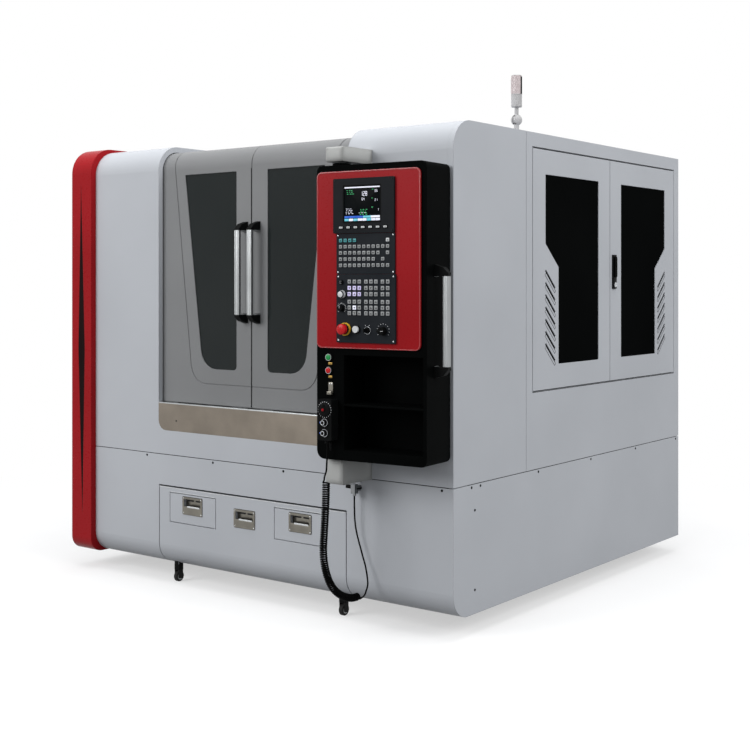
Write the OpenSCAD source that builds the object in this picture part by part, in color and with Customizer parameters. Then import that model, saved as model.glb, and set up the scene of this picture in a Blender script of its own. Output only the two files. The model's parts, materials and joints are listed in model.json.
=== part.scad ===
// CNC engraving machine in a full cabinet, with a swivelling operator pendant.
// Cabinet places: x from the left face, y back from the front panels, z up from the underside.

/* [Cabinet] */
// Width over the red end frame and the right wall
cabinet_w = 2187; // [2150:1:2300]
// Depth from the front panels to the rear wall
cabinet_d = 2055; // [2030:1:2200]
// Height from the underside to the white roof
cabinet_h = 1910; // [1890:1:1980]
// Height of the levelling feet below the cabinet
foot_h = 80; // [70:1:110]
// Depth of the folded cabinet panels
panel_t = 25; // [22:0.5:26]
// Radius of the edge between front and roof
top_r = 118; // [100:1:130]
// Radius of the edge under the front
bottom_r = 98; // [80:1:110]
// How far the front panels fold back under the cabinet
under_fold = 140; // [125:1:200]
// Height of the seam between base and upper cabinet
seam_z = 505; // [500:1:515]
// Width of the open seams between panels
seam_gap = 3; // [2:0.5:4]

/* [Red end frame] */
// Width of the red frame at the left end
end_frame_w = 140; // [120:1:160]
// How far the red frame stands proud of the front panels
end_frame_proud = 28; // [15:1:40]
// How far the red frame stands above the roof
end_frame_rise = 14; // [5:1:40]
// Radius of the red frame's upper edge
end_top_r = 120; // [100:1:140]
// Radius of the red frame's lower edge
end_bottom_r = 66; // [50:1:80]
// Greatest width of the dark taper insert
taper_w = 46; // [24:1:60]
// Lower point of the taper insert
taper_z0 = 172; // [140:1:260]
// Upper point of the taper insert
taper_z1 = 1754; // [1600:1:1760]
// Thickness of the taper insert
taper_t = 3; // [2:0.5:5]

/* [Front doors] */
// Left edge of the door opening
opening_x = 574; // [550:1:600]
// Width of the white column on the right of the opening
column_w = 513; // [480:1:540]
// Top of the stainless sill
sill_z = 739; // [730:1:750]
// Height of the stainless sill strip
sill_h = 126; // [90:1:140]
// Thickness of the stainless strip
sill_t = 2; // [1.5:0.5:3]
// Radius of the sill strip's lower corners
sill_r = 45; // [20:1:60]
// How far the doors lie behind the front panels
door_back = 30; // [28:1:34]
// How far the doors lie below the white roof
door_drop = 28; // [27.5:0.5:36]
// Lap of each door behind its column
door_lap = 30; // [15:1:45]
// Sheet thickness of the doors
door_skin = 4; // [3:0.5:6]
// Depth of the doors' folded edges
door_fold = 25; // [20:1:30]
// Width of the doors' folded edges
door_fold_w = 20; // [14:1:26]
// How far the doors reach back along the roof
door_roof_d = 420; // [360:1:450]
// Window bottom above the cabinet's underside
window_z = 900; // [880:1:950]
// Top of the window below the bend into the roof
window_drop = 26; // [15:1:60]
// Gap from the middle seam to the window
window_in = 91; // [80:1:110]
// Gap from the column to the window's upper corner
window_side = 141; // [130:1:170]
// How much narrower the window is at the bottom
window_taper = 110; // [80:1:120]
// Radius of the window's large corner
window_r = 90; // [60:1:95]
// Radius of the window's lower corner at the seam
window_small_r = 18; // [10:1:30]
// Radius of the window's upper corners
window_top_r = 4; // [2:1:10]
// Thickness of the window panes
pane_t = 6; // [4:0.5:8]
// Lap of a pane behind its sheet
pane_lap = 18; // [10:1:20]
// Width of the pressed line on the doors
line_w = 5; // [3:0.5:8]
// Depth of the pressed line
line_t = 2; // [1:0.25:2.5]
// Height of the pressed line along the bottom
line_z = 832; // [800:1:860]
// Distance of the pressed line from the window, at its foot
line_foot = 61; // [40:1:70]
// Distance of the pressed line from the window, at the roof
line_head = 75; // [60:1:90]

/* [Bar handles] */
// Width of a handle bar
bar_w = 26; // [22:1:40]
// Thickness of a handle bar
bar_t = 16; // [12:1:20]
// Gap between a door and its handle bar
bar_gap = 42; // [35:1:50]
// Height of the lower end of the door handle
bar_z = 1145; // [1100:1:1180]
// Length of the door handle's bar
bar_l = 364; // [300:1:400]
// Length of an end bracket past the bar
bracket_l = 38; // [30:1:50]
// Distance of the handle's middle from the door seam
bar_side = 36; // [30:1:45]

/* [Side doors] */
// Front edge of the pair of side doors
side_y = 590; // [570:1:620]
// Distance of the side doors from the cabinet's rear
side_back = 55; // [45:1:85]
// Lower edge of the side doors
side_z = 828; // [800:1:850]
// Distance of the side doors below the roof
side_drop = 62; // [52:1:102]
// Running gap around the side doors
side_gap = 4; // [3.5:0.5:6]
// Depth of the side doors
side_t = 22; // [18:1:24]
// Sheet thickness of the side doors
side_skin = 3; // [2:0.5:4]
// Width of the side doors' folded edges
side_rim = 18; // [16:1:24]
// Radius of the hinge pins
hinge_r = 4; // [3:0.25:5]
// Distance of the hinge pins from the doors' faces
hinge_in = 7; // [6.5:0.25:8]
// Length of a hinge pin in the door
hinge_l = 24; // [15:1:30]

/* [Trolley] */
// Distance of the trolley's sides from the edges of the door opening
trolley_in = 7; // [5:1:30]
// Top of the trolley's front
trolley_h = 358; // [345:1:362]
// Depth of the trolley
trolley_d = 850; // [700:1:950]
// Gap around the trolley
trolley_gap = 4; // [3:0.5:6]
// Sheet thickness of tank and drawers
tank_t = 4; // [3:0.5:6]
// Radius of the trolley's wheels
wheel_r = 24; // [20:1:28]
// Width of the trolley's wheels
wheel_w = 20; // [16:1:26]
// Radius of the wheels' axles
axle_r = 5; // [4:0.5:6]

/* [Pendant] */
// Turn of the pendant about its pivots, degrees
pendant_turn = 5; // [3:0.5:7]
// Distance of the pivots from the cabinet's right side
pivot_side = 429; // [415:1:445]
// Distance of the pivots before the front panels
pivot_y = 140; // [135:1:150]
// Width of the pendant
pendant_w = 488; // [470:1:500]
// Depth of the pendant
pendant_d = 178; // [170:1:185]
// Underside of the pendant
pendant_z = 606; // [600:1:620]
// Height of the pendant
pendant_h = 1127; // [1115:1:1140]
// Distance of the pivots from the pendant's left side
pivot_in = 55; // [48:1:62]
// Radius of the pivots
pivot_r = 25; // [20:1:28]
// Radius of the pendant's corners
pendant_r = 22; // [12:1:30]
// Radius of the pendant's lower left corner
pendant_low_r = 34; // [32:1:40]
// Thickness of the red face
face_t = 8; // [5:0.5:10]
// Width of the left strip beside the shelf
strip_w = 125; // [115:1:135]
// Depth of the shelf
shelf_d = 150; // [120:1:160]

/* [Machine inside] */
// Top of the cast bed
bed_top = 560; // [540:1:570]
// Room between the T-slot table and the sides of the opening
table_side = 150; // [125:1:200]
// Length of the T-slot table
table_l = 700; // [600:1:750]
// Thickness of the T-slot table
table_t = 95; // [80:1:100]
// Radius of the spindle
spindle_r = 62; // [50:1:70]

/* [Hidden] */
$fn = 48;

// Colours
white = "#c4c6ca";
grey = "#7f8182";
red = "#8e1a20";
black = "#161617";
dark_glass = "#2a2d2e";
stainless = "#8d857d";
metal = "#a9abad";
iron = "#5b6062";

// Clearances
fit = 0.3;
running = 0.05;
cut = 1;
corner_steps = 5;

// Heights and places that follow from the cabinet
inner_h = cabinet_h - panel_t;
inner_w = cabinet_w - panel_t;
opening_w = cabinet_w - opening_x - column_w;
opening_end = opening_x + opening_w;
door_mid = opening_x + opening_w / 2;
door_z = sill_z + seam_gap;
door_w = opening_w / 2 + door_lap - seam_gap / 2;
door_r = top_r - door_back;
door_flat_z = cabinet_h - door_drop - door_r;
window_h = door_flat_z - window_drop - window_z;
window_top_w = opening_w / 2 - window_in - window_side;
window_bottom_w = window_top_w - window_taper;

// Runners of the front doors
rail_y = panel_t;
rail_d = 40;
rail_h = 36;
door_roof_y = door_back + door_roof_d + seam_gap;
top_rail_d = 25;
top_rail_h = 35;

// Side doors
side_w = cabinet_d - side_y - side_back;
side_h = cabinet_h - side_z - side_drop;
side_mid = side_y + side_w / 2;
leaf_w = side_w / 2 - side_gap * 1.5;
leaf_y = side_y + side_gap;
leaf_z = side_z + side_gap;
leaf_h = side_h - 2 * side_gap;
pane_y = 110;
pane_in = 113;
pane_z = 107;
pane_w = side_w / 2 - pane_y - pane_in;
pane_h = side_h - 2 * pane_z;
pane_r = 4;
step_y = 112;
step_rise = 98;
step_drop = 293;
step_z = pane_h - step_rise - step_drop;
step_r = 8;
lock_in = 38;
lock_y = side_mid + lock_in;
lock_below = 83;
lock_z = side_z + side_h / 2 - lock_below;
lock_h = 156;
lock_w = 36;
lock_t = 7;
lock_r = 12;
lock_key_r = 11;
lock_key_l = 12;
lock_key_up = 18;
lever_l = 96;
lever_w = 24;
lever_t = 6;
lever_r = 10;
lever_over = 16;
lever_drop = 24;
lever_z = lock_z + lock_h - lever_drop;
lever_pin_r = 5;
lever_pin_in = 4;

// Machine inside
mid_x = door_mid;
bed_y = 130;
bed_back = 105;
bed_d = cabinet_d - bed_y - bed_back;
leg_in = 260;
leg_front = 470;
leg_back = 275;
leg_x = [leg_in, cabinet_w - leg_in];
leg_y = [leg_front, (leg_front + cabinet_d - leg_back) / 2, cabinet_d - leg_back];
table_w = opening_w - 2 * table_side;
table_y = 350;
y_rail_w = 30;
y_rail_h = 30;
y_rail_in = 126;
y_rail_side = table_w / 2 - y_rail_in;
y_rail_back = 575;
y_rail_l = cabinet_d - bed_y - y_rail_back;
screw_r = 16;
screw_gap = 2;
screw_block_l = 30;
screw_block_in = 60;
y_screw_in = 30;
y_screw_past = 90;
y_screw_up = 4;
y_screw_l = y_rail_l + y_screw_past;
x_screw_in = 60;
motor_size = 110;
motor_l = [180, 210];
block_h = 50;
table_z = bed_top + y_rail_h + block_h;
beam_y = 1150;
beam_drop = 760;
beam_z = cabinet_h - beam_drop;
beam_h = 400;
beam_d = 350;
gantry_side = 194;
gantry_w = opening_w + 2 * gantry_side;
gantry_x = mid_x - gantry_w / 2;
leg_w = 220;
x_rail_in = 60;
x_rail_short = 40;
x_rail_h = 30;
x_rail_d = 30;
x_rail_z = [beam_z + x_rail_in, beam_z + beam_h - x_rail_in];
saddle_w = 360;
saddle_t = 70;
saddle_low = 30;
saddle_off = 5;
saddle_z = beam_z - saddle_low;
saddle_h = 480;
saddle_y = beam_y - x_rail_d - saddle_off - saddle_t;
z_motor = [110, 150];
head_w = 260;
head_d = 150;
head_up = 265;
head_z = table_z + table_t + head_up;
head_h = 560;
head_y = saddle_y - fit - head_d;
spindle_back = 12;
spindle_y = head_y + head_d / 2 + spindle_back;
spindle_l = 90;
nose_z = head_z - spindle_l;
quill_r = 20;
quill_l = 55;
quill_room = 5;

// Signal lamp
lamp_in = 100;
lamp_x = cabinet_w - lamp_in;
lamp_y = 630;
knuckle_up = 61;
knuckle_z = cabinet_h + knuckle_up;
knuckle_ball_r = 24;
knuckle_r = 17;
knuckle_pin_r = 6;
tongue_w = 17;
lamp_r = 23;
lamp_edge = 2;
lamp_z = 54;
lamp_h = 55;
lens_h = 77;

// Trolley
floor_z = -foot_h;
trolley_x = opening_x + trolley_in;
trolley_w = opening_w - 2 * trolley_in;
trolley_end = trolley_x + trolley_w;
tank_z = 24;
wheel_x = 60;
wheel_y = [62, trolley_d - 70];
fork_t = 4;
fork_d = 28;
fork_foot = 24;
fork_under = 10;
fork_r = 8;
wheel_room = 6;
drawer_z = 204;
drawer_h = 129;
drawer_in = [69, 101];
drawer_apart = 348;
drawer_w = (trolley_w - drawer_in[0] - drawer_in[1] - drawer_apart) / 2;
drawer_x = [trolley_x + drawer_in[0], trolley_end - drawer_in[1] - drawer_w];
drawer_d = 560;
drawer_face_t = 22;
drawer_side = 4;
drawer_low = 10;
drawer_pull_up = 42;
runner_h = 12;
pull_w = 122;
pull_h = 78;
pull_d = 16;
pull_rim = 8;
pull_lap = 2;
pull_lip = 35.1;
pull_proud = 2;
pull_r = 5;
front_pull = [(drawer_x[0] + drawer_x[1] + drawer_w) / 2, 226];

// Pendant, in its own places: x from its left side, y back from its front, z as the cabinet
pivot_x = cabinet_w - pivot_side;
pivot_deep = pendant_d / 2;
pivot_l = 12;
collar_r = 36;
collar_h = 15;
arm_w = 84;
arm_past = 46;
arm_reach = pivot_y + arm_past;
arm_r = 8;
upper_gap = 20;
upper_arm_h = 58;
upper_arm_z = pendant_z + pendant_h + upper_gap;
lower_gap = 4;
lower_arm_h = 99;
lower_arm_z = pendant_z - lower_gap - lower_arm_h;
face_x = 5;
face_side = 22;
face_w = pendant_w - face_x - face_side;
face_z = 1034;
face_drop = 25;
face_h = pendant_z + pendant_h - face_drop - face_z;
shell_t = 6;
shelf_z = 646;
shelf_h = 362;
shelf_split = 818;
shelf_board = 8;
shelf_side = 14;
screen_at = [87, 1471];
screen_size = [272, 208];
screen_t = 10;
lcd_at = [136, 1514];
lcd_size = [162, 135];
lcd_deep = 3;
keys_at = [100, 1317];
keys_size = [260, 153];
keys_t = 6;
panel_at = [101, 1057];
panel_size = [263, 259];
plate_t = 8;
key_out = 1.5;
panel_out = face_t + plate_t;
estop_at = [143, 1108];
push_at = [193, 1108];
key_at = [241, 1105];
mode_at = [311, 1104];
override_at = [125, 1187];
pilot_at = [127, 1240];
small_knob_at = [125, 1286];
start_at = [59, 998];
stop_at = [59, 948];
hook_at = [56, 856];
grip_z = 968;
grip_l = 346;
unit_at = [34, 683];
unit_size = [64, 157];
unit_d = 46;
gland_at = [64.5, 671];
dial_at = [68, 801];
axis_at = [67, 752];
rate_at = [67, 712];
button_travel = 4;
button_r = 11;
button_bore = 16;
shaft_r = 4;
shaft_l = 4.5;
shaft_in = 1.5;
shaft_bore = 5;
stem_r = 9;
push_r = 12.5;

// Middle of the whole part, which is the origin
reach_out = pendant_w - pivot_in + bar_gap + bar_t;
reach_front = pivot_deep + unit_d + 10;
reach_x = pivot_x + reach_out * cos(pendant_turn) + pivot_deep * sin(pendant_turn);
reach_y = pivot_y + reach_front * cos(pendant_turn);
origin_x = reach_x / 2;
origin_y = (cabinet_d - reach_y) / 2;

// Route of the hand unit's cord, across from the pivots, else in cabinet places
cord_r = 3;
coil_r = 15;
lead_top = [[21, -253, 670.5], [21, -253, 640], [16, -252, 580], [14, -252, 516]];
coil_route = [[14, -252, 516], [11, -252, 430], [4, -252, 326], [0, -252, 253], [5, -245, 184],
    [15, -225, 124], [27, -190, 84], [37, -130, 58], [45, -75, 60]];
lead_bottom = [[45, -75, 60], [53, -58, 70], [54, -44, 98], [36, -32, 154], [13, -27, 208],
    [-14, -27, 287], [-21, -30, 337], [-22, -32, 389], [-22, -32, 436.5]];

// Outline functions

// Points of corner b between a and c, rounded to radius r
function corner(a, b, c, r) =
    let (
        u = (a - b) / norm(a - b),
        v = (c - b) / norm(c - b),
        half = acos(u * v) / 2,
        mid = b + (u + v) / norm(u + v) * r / sin(half),
        p = b + u * r / tan(half) - mid,
        q = b + v * r / tan(half) - mid,
        start = atan2(p.y, p.x),
        turn = (atan2(q.y, q.x) - start + 540) % 360 - 180
    )
    [for (i = [0:corner_steps])
        let (angle = start + turn * i / corner_steps)
        mid + r * [cos(angle), sin(angle)]];

// Closed outline with each corner rounded to its own radius, 0 for a sharp one
function rounded(points, radii) =
    let (n = len(points))
    [for (i = [0:n - 1])
        let (before = points[(i + n - 1) % n], after = points[(i + 1) % n])
        each (radii[i] == 0 ? [points[i]] : corner(before, points[i], after, radii[i]))];

function box_outline(size, r) = rounded([[0, 0], [size.x, 0], size, [0, size.y]], [r, r, r, r]);

// Open line widened to a ribbon of width w
function ribbon(points, w) =
    let (
        n = len(points),
        side = [for (i = [0:n - 1])
            let (d = points[min(i + 1, n - 1)] - points[max(i - 1, 0)])
            [-d.y, d.x] / norm(d) * w / 2]
    )
    concat([for (i = [0:n - 1]) points[i] + side[i]], [for (i = [n - 1:-1:0]) points[i] - side[i]]);

// Smooth curve through the points, with n steps between each pair
function smooth(points, n) =
    let (last = len(points) - 1)
    [for (i = [0:last - 1]) each [for (k = [0:i == last - 1 ? n : n - 1])
        let (
            t = k / n,
            a = points[max(i - 1, 0)],
            b = points[i],
            c = points[i + 1],
            d = points[min(i + 2, last)]
        )
        (2 * b + (c - a) * t + (2 * a - 5 * b + 4 * c - d) * t ^ 2 + (3 * b - a - 3 * c + d) * t ^ 3) / 2]];

// Moves and shapes that repeat

module cab() {
    translate([-origin_x, -origin_y, foot_h]) children();
}

// Extrudes a shape drawn in depth and height across the cabinet
module along_x(x, w) {
    translate([x, 0, 0]) rotate([90, 0, 90]) linear_extrude(w) children();
}

// Extrudes a shape drawn in width and height back from y
module along_y(y, d) {
    translate([0, y + d, 0]) rotate([90, 0, 0]) linear_extrude(d) children();
}

module block(at, size) {
    translate(at) cube(size);
}

// Side outline of the cabinet, moved in by the given distances
module side_outline(front, top, bottom, back = 0) {
    bent_outline(front, top, bottom, back, top_r - front, bottom_r - front);
}

// Outline with an upper edge of radius rt and a lower edge of radius rb
module bent_outline(front, top, bottom, back, rt, rb) {
    top_z = cabinet_h - top;
    difference() {
        translate([front, bottom]) square([cabinet_d - back - front, top_z - bottom]);
        difference() {
            translate([front - cut, top_z - rt]) square(rt + cut);
            translate([front + rt, top_z - rt]) circle(rt);
        }
        difference() {
            translate([front - cut, bottom - cut]) square(rb + cut);
            translate([front + rb, bottom + rb]) circle(rb);
        }
    }
}

// Bent panel that follows the side outline, open at the back
module side_band(front, top, bottom, t) {
    difference() {
        side_outline(front, top, bottom);
        side_outline(front + t, top + t, bottom + t, -cut);
    }
}

module height_range(z0, z1) {
    translate([-100, z0]) square([cabinet_d + 200, z1 - z0]);
}

// Flat side wall that fits inside the bent panels
module wall_outline(z0, z1) {
    intersection() {
        side_outline(panel_t + fit, panel_t + fit, panel_t + fit);
        height_range(z0, z1);
    }
}

// Tube with 8 sides along a route
module tube(route, r, sides = 8) {
    n = len(route);
    rings = [for (i = [0:n - 1])
        let (
            d = route[min(i + 1, n - 1)] - route[max(i - 1, 0)],
            t = d / norm(d),
            side = cross(t, [1, 0, 0]),
            u = side / norm(side),
            v = cross(t, u)
        )
        each [for (k = [0:sides - 1])
            let (angle = 360 * k / sides)
            route[i] + r * (u * cos(angle) + v * sin(angle))]];
    walls = [for (i = [0:n - 2], k = [0:sides - 1])
        let (a = i * sides, b = a + sides, m = (k + 1) % sides)
        [a + m, a + k, b + k, b + m]];
    ends = [[for (k = [0:sides - 1]) k], [for (k = [sides - 1:-1:0]) (n - 1) * sides + k]];
    polyhedron(points = rings, faces = concat(walls, ends), convexity = 6);
}

// Cabinet

module red_end_frame() {
    color(red) cab() difference() {
        along_x(0, end_frame_w) difference() {
            bent_outline(-end_frame_proud, -end_frame_rise, 0, 0, end_top_r, end_bottom_r);
            side_outline(panel_t, panel_t, panel_t, -cut);
            translate([under_fold, -cut]) square([cabinet_d, panel_t + 2 * cut]);
        }
        along_y(-end_frame_proud - cut, taper_t + cut) taper_outline();
    }
}

module taper_outline() {
    mid = (taper_z0 + taper_z1) / 2;
    x = end_frame_w / 2;
    lean = [-4, 6];
    polygon([[x + lean[0], taper_z1], [x - taper_w / 2, mid], [x + lean[1], taper_z0], [x + taper_w / 2, mid]]);
}

module taper_insert() {
    color(black) cab() along_y(-end_frame_proud, taper_t) taper_outline();
}

module sill_outline() {
    polygon(rounded([[opening_x, sill_z - sill_h], [opening_end, sill_z - sill_h], [opening_end, sill_z],
        [opening_x, sill_z]], [sill_r, sill_r, 0, 0]));
}

module front_frame() {
    color(white) cab() difference() {
        along_x(end_frame_w, inner_w - end_frame_w) side_band(0, 0, 0, panel_t);
        block([0, -cut, -cut], [cabinet_w, cabinet_d + 2 * cut, seam_z + cut]);
        block([opening_x, -cut, sill_z - sill_t], [opening_w, cabinet_d + 2 * cut, cabinet_h]);
        along_y(-cut, sill_t + cut) sill_outline();
    }
}

module sill_strip() {
    color(stainless) cab() {
        along_y(0, sill_t) sill_outline();
        block([opening_x, 0, sill_z - sill_t], [opening_w, panel_t, sill_t]);
    }
}

module roof_panel() {
    color(white) cab()
        block([opening_x, door_roof_y, inner_h], [opening_w, cabinet_d - door_roof_y, panel_t]);
}

module left_wall() {
    color(white) cab() along_x(0, panel_t) wall_outline(seam_z, cabinet_h);
}

module right_wall() {
    pin_z = [side_z - hinge_l, side_z + side_h - side_gap - hinge_l];
    groove_y = side_y - 51;
    groove_w = 2;
    groove_t = 1.5;
    color(white) cab() {
        difference() {
            along_x(inner_w, panel_t) difference() {
                intersection() {
                    side_outline(0, 0, 0);
                    height_range(seam_z, cabinet_h);
                }
                translate([side_y, side_z]) square([side_w, side_h]);
            }
            block([cabinet_w - groove_t, groove_y, seam_z - cut], [panel_t, groove_w, cabinet_h]);
        }
        for (y = [side_hinge_y(0), side_hinge_y(1)], z = pin_z)
            translate([cabinet_w - hinge_in, y, z]) cylinder(r = hinge_r, h = 2 * hinge_l + side_gap);
    }
}

module rear_wall() {
    slot_w = 320;
    slot_h = 12;
    slot_z = 1100;
    slot_pitch = 36;
    slot_count = 10;
    slot_side = 600;
    color(white) cab() difference() {
        block([panel_t + fit, cabinet_d - panel_t, seam_z],
            [inner_w - panel_t - 2 * fit, panel_t, inner_h - seam_z - fit]);
        for (x = [mid_x - slot_side, mid_x + slot_side - slot_w], i = [0:slot_count - 1])
            block([x, cabinet_d - panel_t - cut, slot_z + i * slot_pitch], [slot_w, panel_t + 2 * cut, slot_h]);
    }
}

module base_skirt() {
    skirt_h = seam_z - seam_gap;
    color(white) cab() {
        difference() {
            along_x(end_frame_w, cabinet_w - end_frame_w) intersection() {
                side_band(0, 0, 0, panel_t);
                height_range(0, skirt_h);
                square([under_fold, cabinet_h]);
            }
            block([trolley_x - trolley_gap, -cut, -cut],
                [trolley_w + 2 * trolley_gap, under_fold + 2 * cut, trolley_h + trolley_gap + cut]);
        }
        for (side = [0, 1])
            along_x(side * inner_w, panel_t) intersection() {
                side_outline((1 - side) * panel_t, 0, (1 - side) * panel_t);
                height_range(0, skirt_h);
            }
        block([0, cabinet_d - panel_t, panel_t], [cabinet_w, panel_t, skirt_h - panel_t]);
    }
}

module levelling_feet() {
    pad_r = 45;
    pad_h = 18;
    stem_r = 14;
    color(iron) cab() for (x = leg_x, y = leg_y)
        translate([x, y, floor_z]) {
            cylinder(r = pad_r, h = pad_h);
            cylinder(r = stem_r, h = foot_h);
        }
}

module pendant_arms() {
    color(white) cab() {
        arm(upper_arm_z, upper_arm_h);
        translate([pivot_x, -pivot_y, upper_arm_z - upper_gap - pivot_l])
            cylinder(r = pivot_r, h = upper_gap + pivot_l + cut);
        arm(lower_arm_z, lower_arm_h);
        translate([pivot_x, -pivot_y, lower_arm_z + lower_arm_h - cut])
            cylinder(r = pivot_r, h = lower_gap + pivot_l + cut);
    }
}

module arm(z, h) {
    along_x(pivot_x - arm_w / 2, arm_w)
        polygon(rounded([[-arm_reach, z], [0, z], [0, z + h], [-arm_reach, z + h]], [arm_r, 0, 0, arm_r]));
}

// Machine inside

module machine_bed() {
    slab_z = 400;
    foot_w = 200;
    tie_w = 80;
    tie_h = 60;
    tie_up = 20;
    color(iron) cab() {
        block([leg_x[0] - foot_w / 2, bed_y, slab_z],
            [leg_x[1] - leg_x[0] + foot_w, bed_d, bed_top - slab_z]);
        for (x = leg_x, y = leg_y)
            block([x - foot_w / 2, y - foot_w / 2, 0], [foot_w, foot_w, slab_z + cut]);
        for (y = [leg_y[0], leg_y[2]])
            block([panel_t, y - tie_w / 2, slab_z + tie_up], [cabinet_w - 2 * panel_t, tie_w, tie_h]);
    }
}

module gantry_bridge() {
    toe = [60, 80];
    color(iron) cab() {
        for (x = [gantry_x, gantry_x + gantry_w - leg_w])
            along_x(x, leg_w) polygon([[beam_y - toe[0], bed_top], [beam_y + beam_d + toe[1], bed_top],
                [beam_y + beam_d, beam_z + cut], [beam_y, beam_z + cut]]);
        block([gantry_x, beam_y, beam_z], [gantry_w, beam_d, beam_h]);
    }
}

module guideways() {
    color(metal) cab() {
        for (s = [-1, 1])
            block([mid_x + s * y_rail_side - y_rail_w / 2, bed_y, bed_top], [y_rail_w, y_rail_l, y_rail_h]);
        for (z = x_rail_z)
            block([gantry_x + x_rail_short, beam_y - x_rail_d, z - x_rail_h / 2],
                [gantry_w - 2 * x_rail_short, x_rail_d, x_rail_h]);
        block([end_frame_w + fit, rail_y, sill_z - sill_t - rail_h],
            [inner_w - end_frame_w - 2 * fit, rail_d, rail_h]);
        block([end_frame_w, door_roof_y, inner_h - top_rail_h],
            [inner_w - end_frame_w, top_rail_d, top_rail_h]);
        translate([mid_x, bed_y + y_screw_in, bed_top + screw_r + y_screw_up]) rotate([-90, 0, 0])
            screw(y_screw_l);
        translate([gantry_x + x_screw_in, beam_y - screw_r - screw_gap, beam_z + beam_h / 2]) rotate([0, 90, 0])
            screw(gantry_w - x_screw_in);
    }
}

// Ball screw with a support block at each end
module screw(l) {
    half = screw_r + screw_gap;
    cylinder(r = screw_r, h = l);
    for (z = [0, l - screw_block_in])
        translate([-half, -half, z]) cube([2 * half, 2 * half, screw_block_l]);
}

module servo_motors() {
    half = motor_size / 2;
    color(black) cab() {
        block([mid_x - half, bed_y + y_screw_in + y_screw_l, bed_top], [motor_size, motor_l[1], motor_size]);
        block([gantry_x + gantry_w, beam_y - half, beam_z + beam_h / 2 - half],
            [motor_l[0], motor_size, motor_size]);
    }
}

module work_table() {
    shoe = [80, 120];
    shoe_in = 60;
    shoe_up = 8;
    slot_pitch = 120;
    slot_neck = [18, 18];
    slot_foot = [32, 14];
    top = table_z + table_t;
    mid_y = table_y + table_l / 2;
    color(metal) cab() difference() {
        union() {
            block([mid_x - table_w / 2, table_y, table_z], [table_w, table_l, table_t]);
            for (s = [-1, 1], y = [table_y + shoe_in, table_y + table_l - shoe_in - shoe.y])
                block([mid_x + s * y_rail_side - shoe.x / 2, y, bed_top + shoe_up],
                    [shoe.x, shoe.y, table_z - bed_top - shoe_up + cut]);
        }
        for (s = [-1, 1])
            block([mid_x + s * y_rail_side - y_rail_w / 2 - fit, table_y - cut, bed_top],
                [y_rail_w + 2 * fit, table_l + 2 * cut, y_rail_h + fit]);
        for (i = [-2:2]) {
            block([mid_x - table_w / 2 - cut, mid_y + i * slot_pitch - slot_neck.x / 2, top - slot_neck.y],
                [table_w + 2 * cut, slot_neck.x, slot_neck.y + cut]);
            block([mid_x - table_w / 2 - cut, mid_y + i * slot_pitch - slot_foot.x / 2,
                top - slot_neck.y - slot_foot.y], [table_w + 2 * cut, slot_foot.x, slot_foot.y]);
        }
    }
}

module x_saddle() {
    pad = [110, 80];
    pad_side = 120;
    color(iron) cab() difference() {
        union() {
            block([mid_x - saddle_w / 2, saddle_y, saddle_z], [saddle_w, saddle_t, saddle_h]);
            for (z = x_rail_z, s = [-1, 1])
                block([mid_x + s * pad_side - pad.x / 2, saddle_y + saddle_t - cut, z - pad.y / 2],
                    [pad.x, x_rail_d + cut - fit, pad.y]);
            block([mid_x - z_motor.x / 2, saddle_y, saddle_z + saddle_h - cut],
                [z_motor.x, saddle_t, z_motor.y]);
        }
        for (z = x_rail_z)
            block([mid_x - saddle_w, beam_y - x_rail_d - fit, z - x_rail_h / 2 - fit],
                [2 * saddle_w, x_rail_d + cut, x_rail_h + 2 * fit]);
    }
}

module z_head() {
    slope = [40, 90];
    color(metal) cab() difference() {
        union() {
            along_x(mid_x - head_w / 2, head_w)
                polygon([[head_y + slope.x, head_z], [head_y + head_d, head_z],
                    [head_y + head_d, head_z + head_h], [head_y, head_z + head_h], [head_y, head_z + slope.y]]);
            translate([mid_x, spindle_y, nose_z]) cylinder(r = spindle_r, h = spindle_l + cut);
        }
        translate([mid_x, spindle_y, nose_z - cut])
            cylinder(r = quill_r + running, h = quill_l + quill_room + cut);
    }
}

module spindle_nose() {
    nose_r = 34;
    nose_l = 45;
    nose_slope = [10, 14];
    tool_r = 3;
    tool_l = 60;
    color(metal) cab() translate([mid_x, spindle_y, nose_z - nose_l]) rotate_extrude()
        polygon([[0, -tool_l], [tool_r, -tool_l], [tool_r, 0], [nose_r - nose_slope.x, 0],
            [nose_r, nose_slope.y], [nose_r, nose_l - fit], [quill_r, nose_l - fit],
            [quill_r, nose_l + quill_l], [0, nose_l + quill_l]]);
}

// Front doors, drawn for the right side of the seam

module at_seam(side) {
    translate([door_mid, 0, 0]) mirror([side < 0 ? 1 : 0, 0, 0]) children();
}

module door_section(t) {
    intersection() {
        side_band(door_back, door_drop, 0, t);
        translate([door_back, door_z]) square([door_roof_d, cabinet_h]);
    }
}

module window_outline() {
    polygon(rounded([[window_in, window_z], [window_in + window_bottom_w, window_z],
        [window_in + window_top_w, window_z + window_h], [window_in, window_z + window_h]],
        [window_small_r, window_r, window_top_r, window_top_r]));
}

module line_outline() {
    foot = [window_in + window_bottom_w + line_foot, line_z];
    head = [window_in + window_top_w + line_head, cabinet_h];
    polygon(ribbon(concat([[0, line_z]], corner([0, line_z], foot, head, window_r), [head]), line_w));
}

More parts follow.
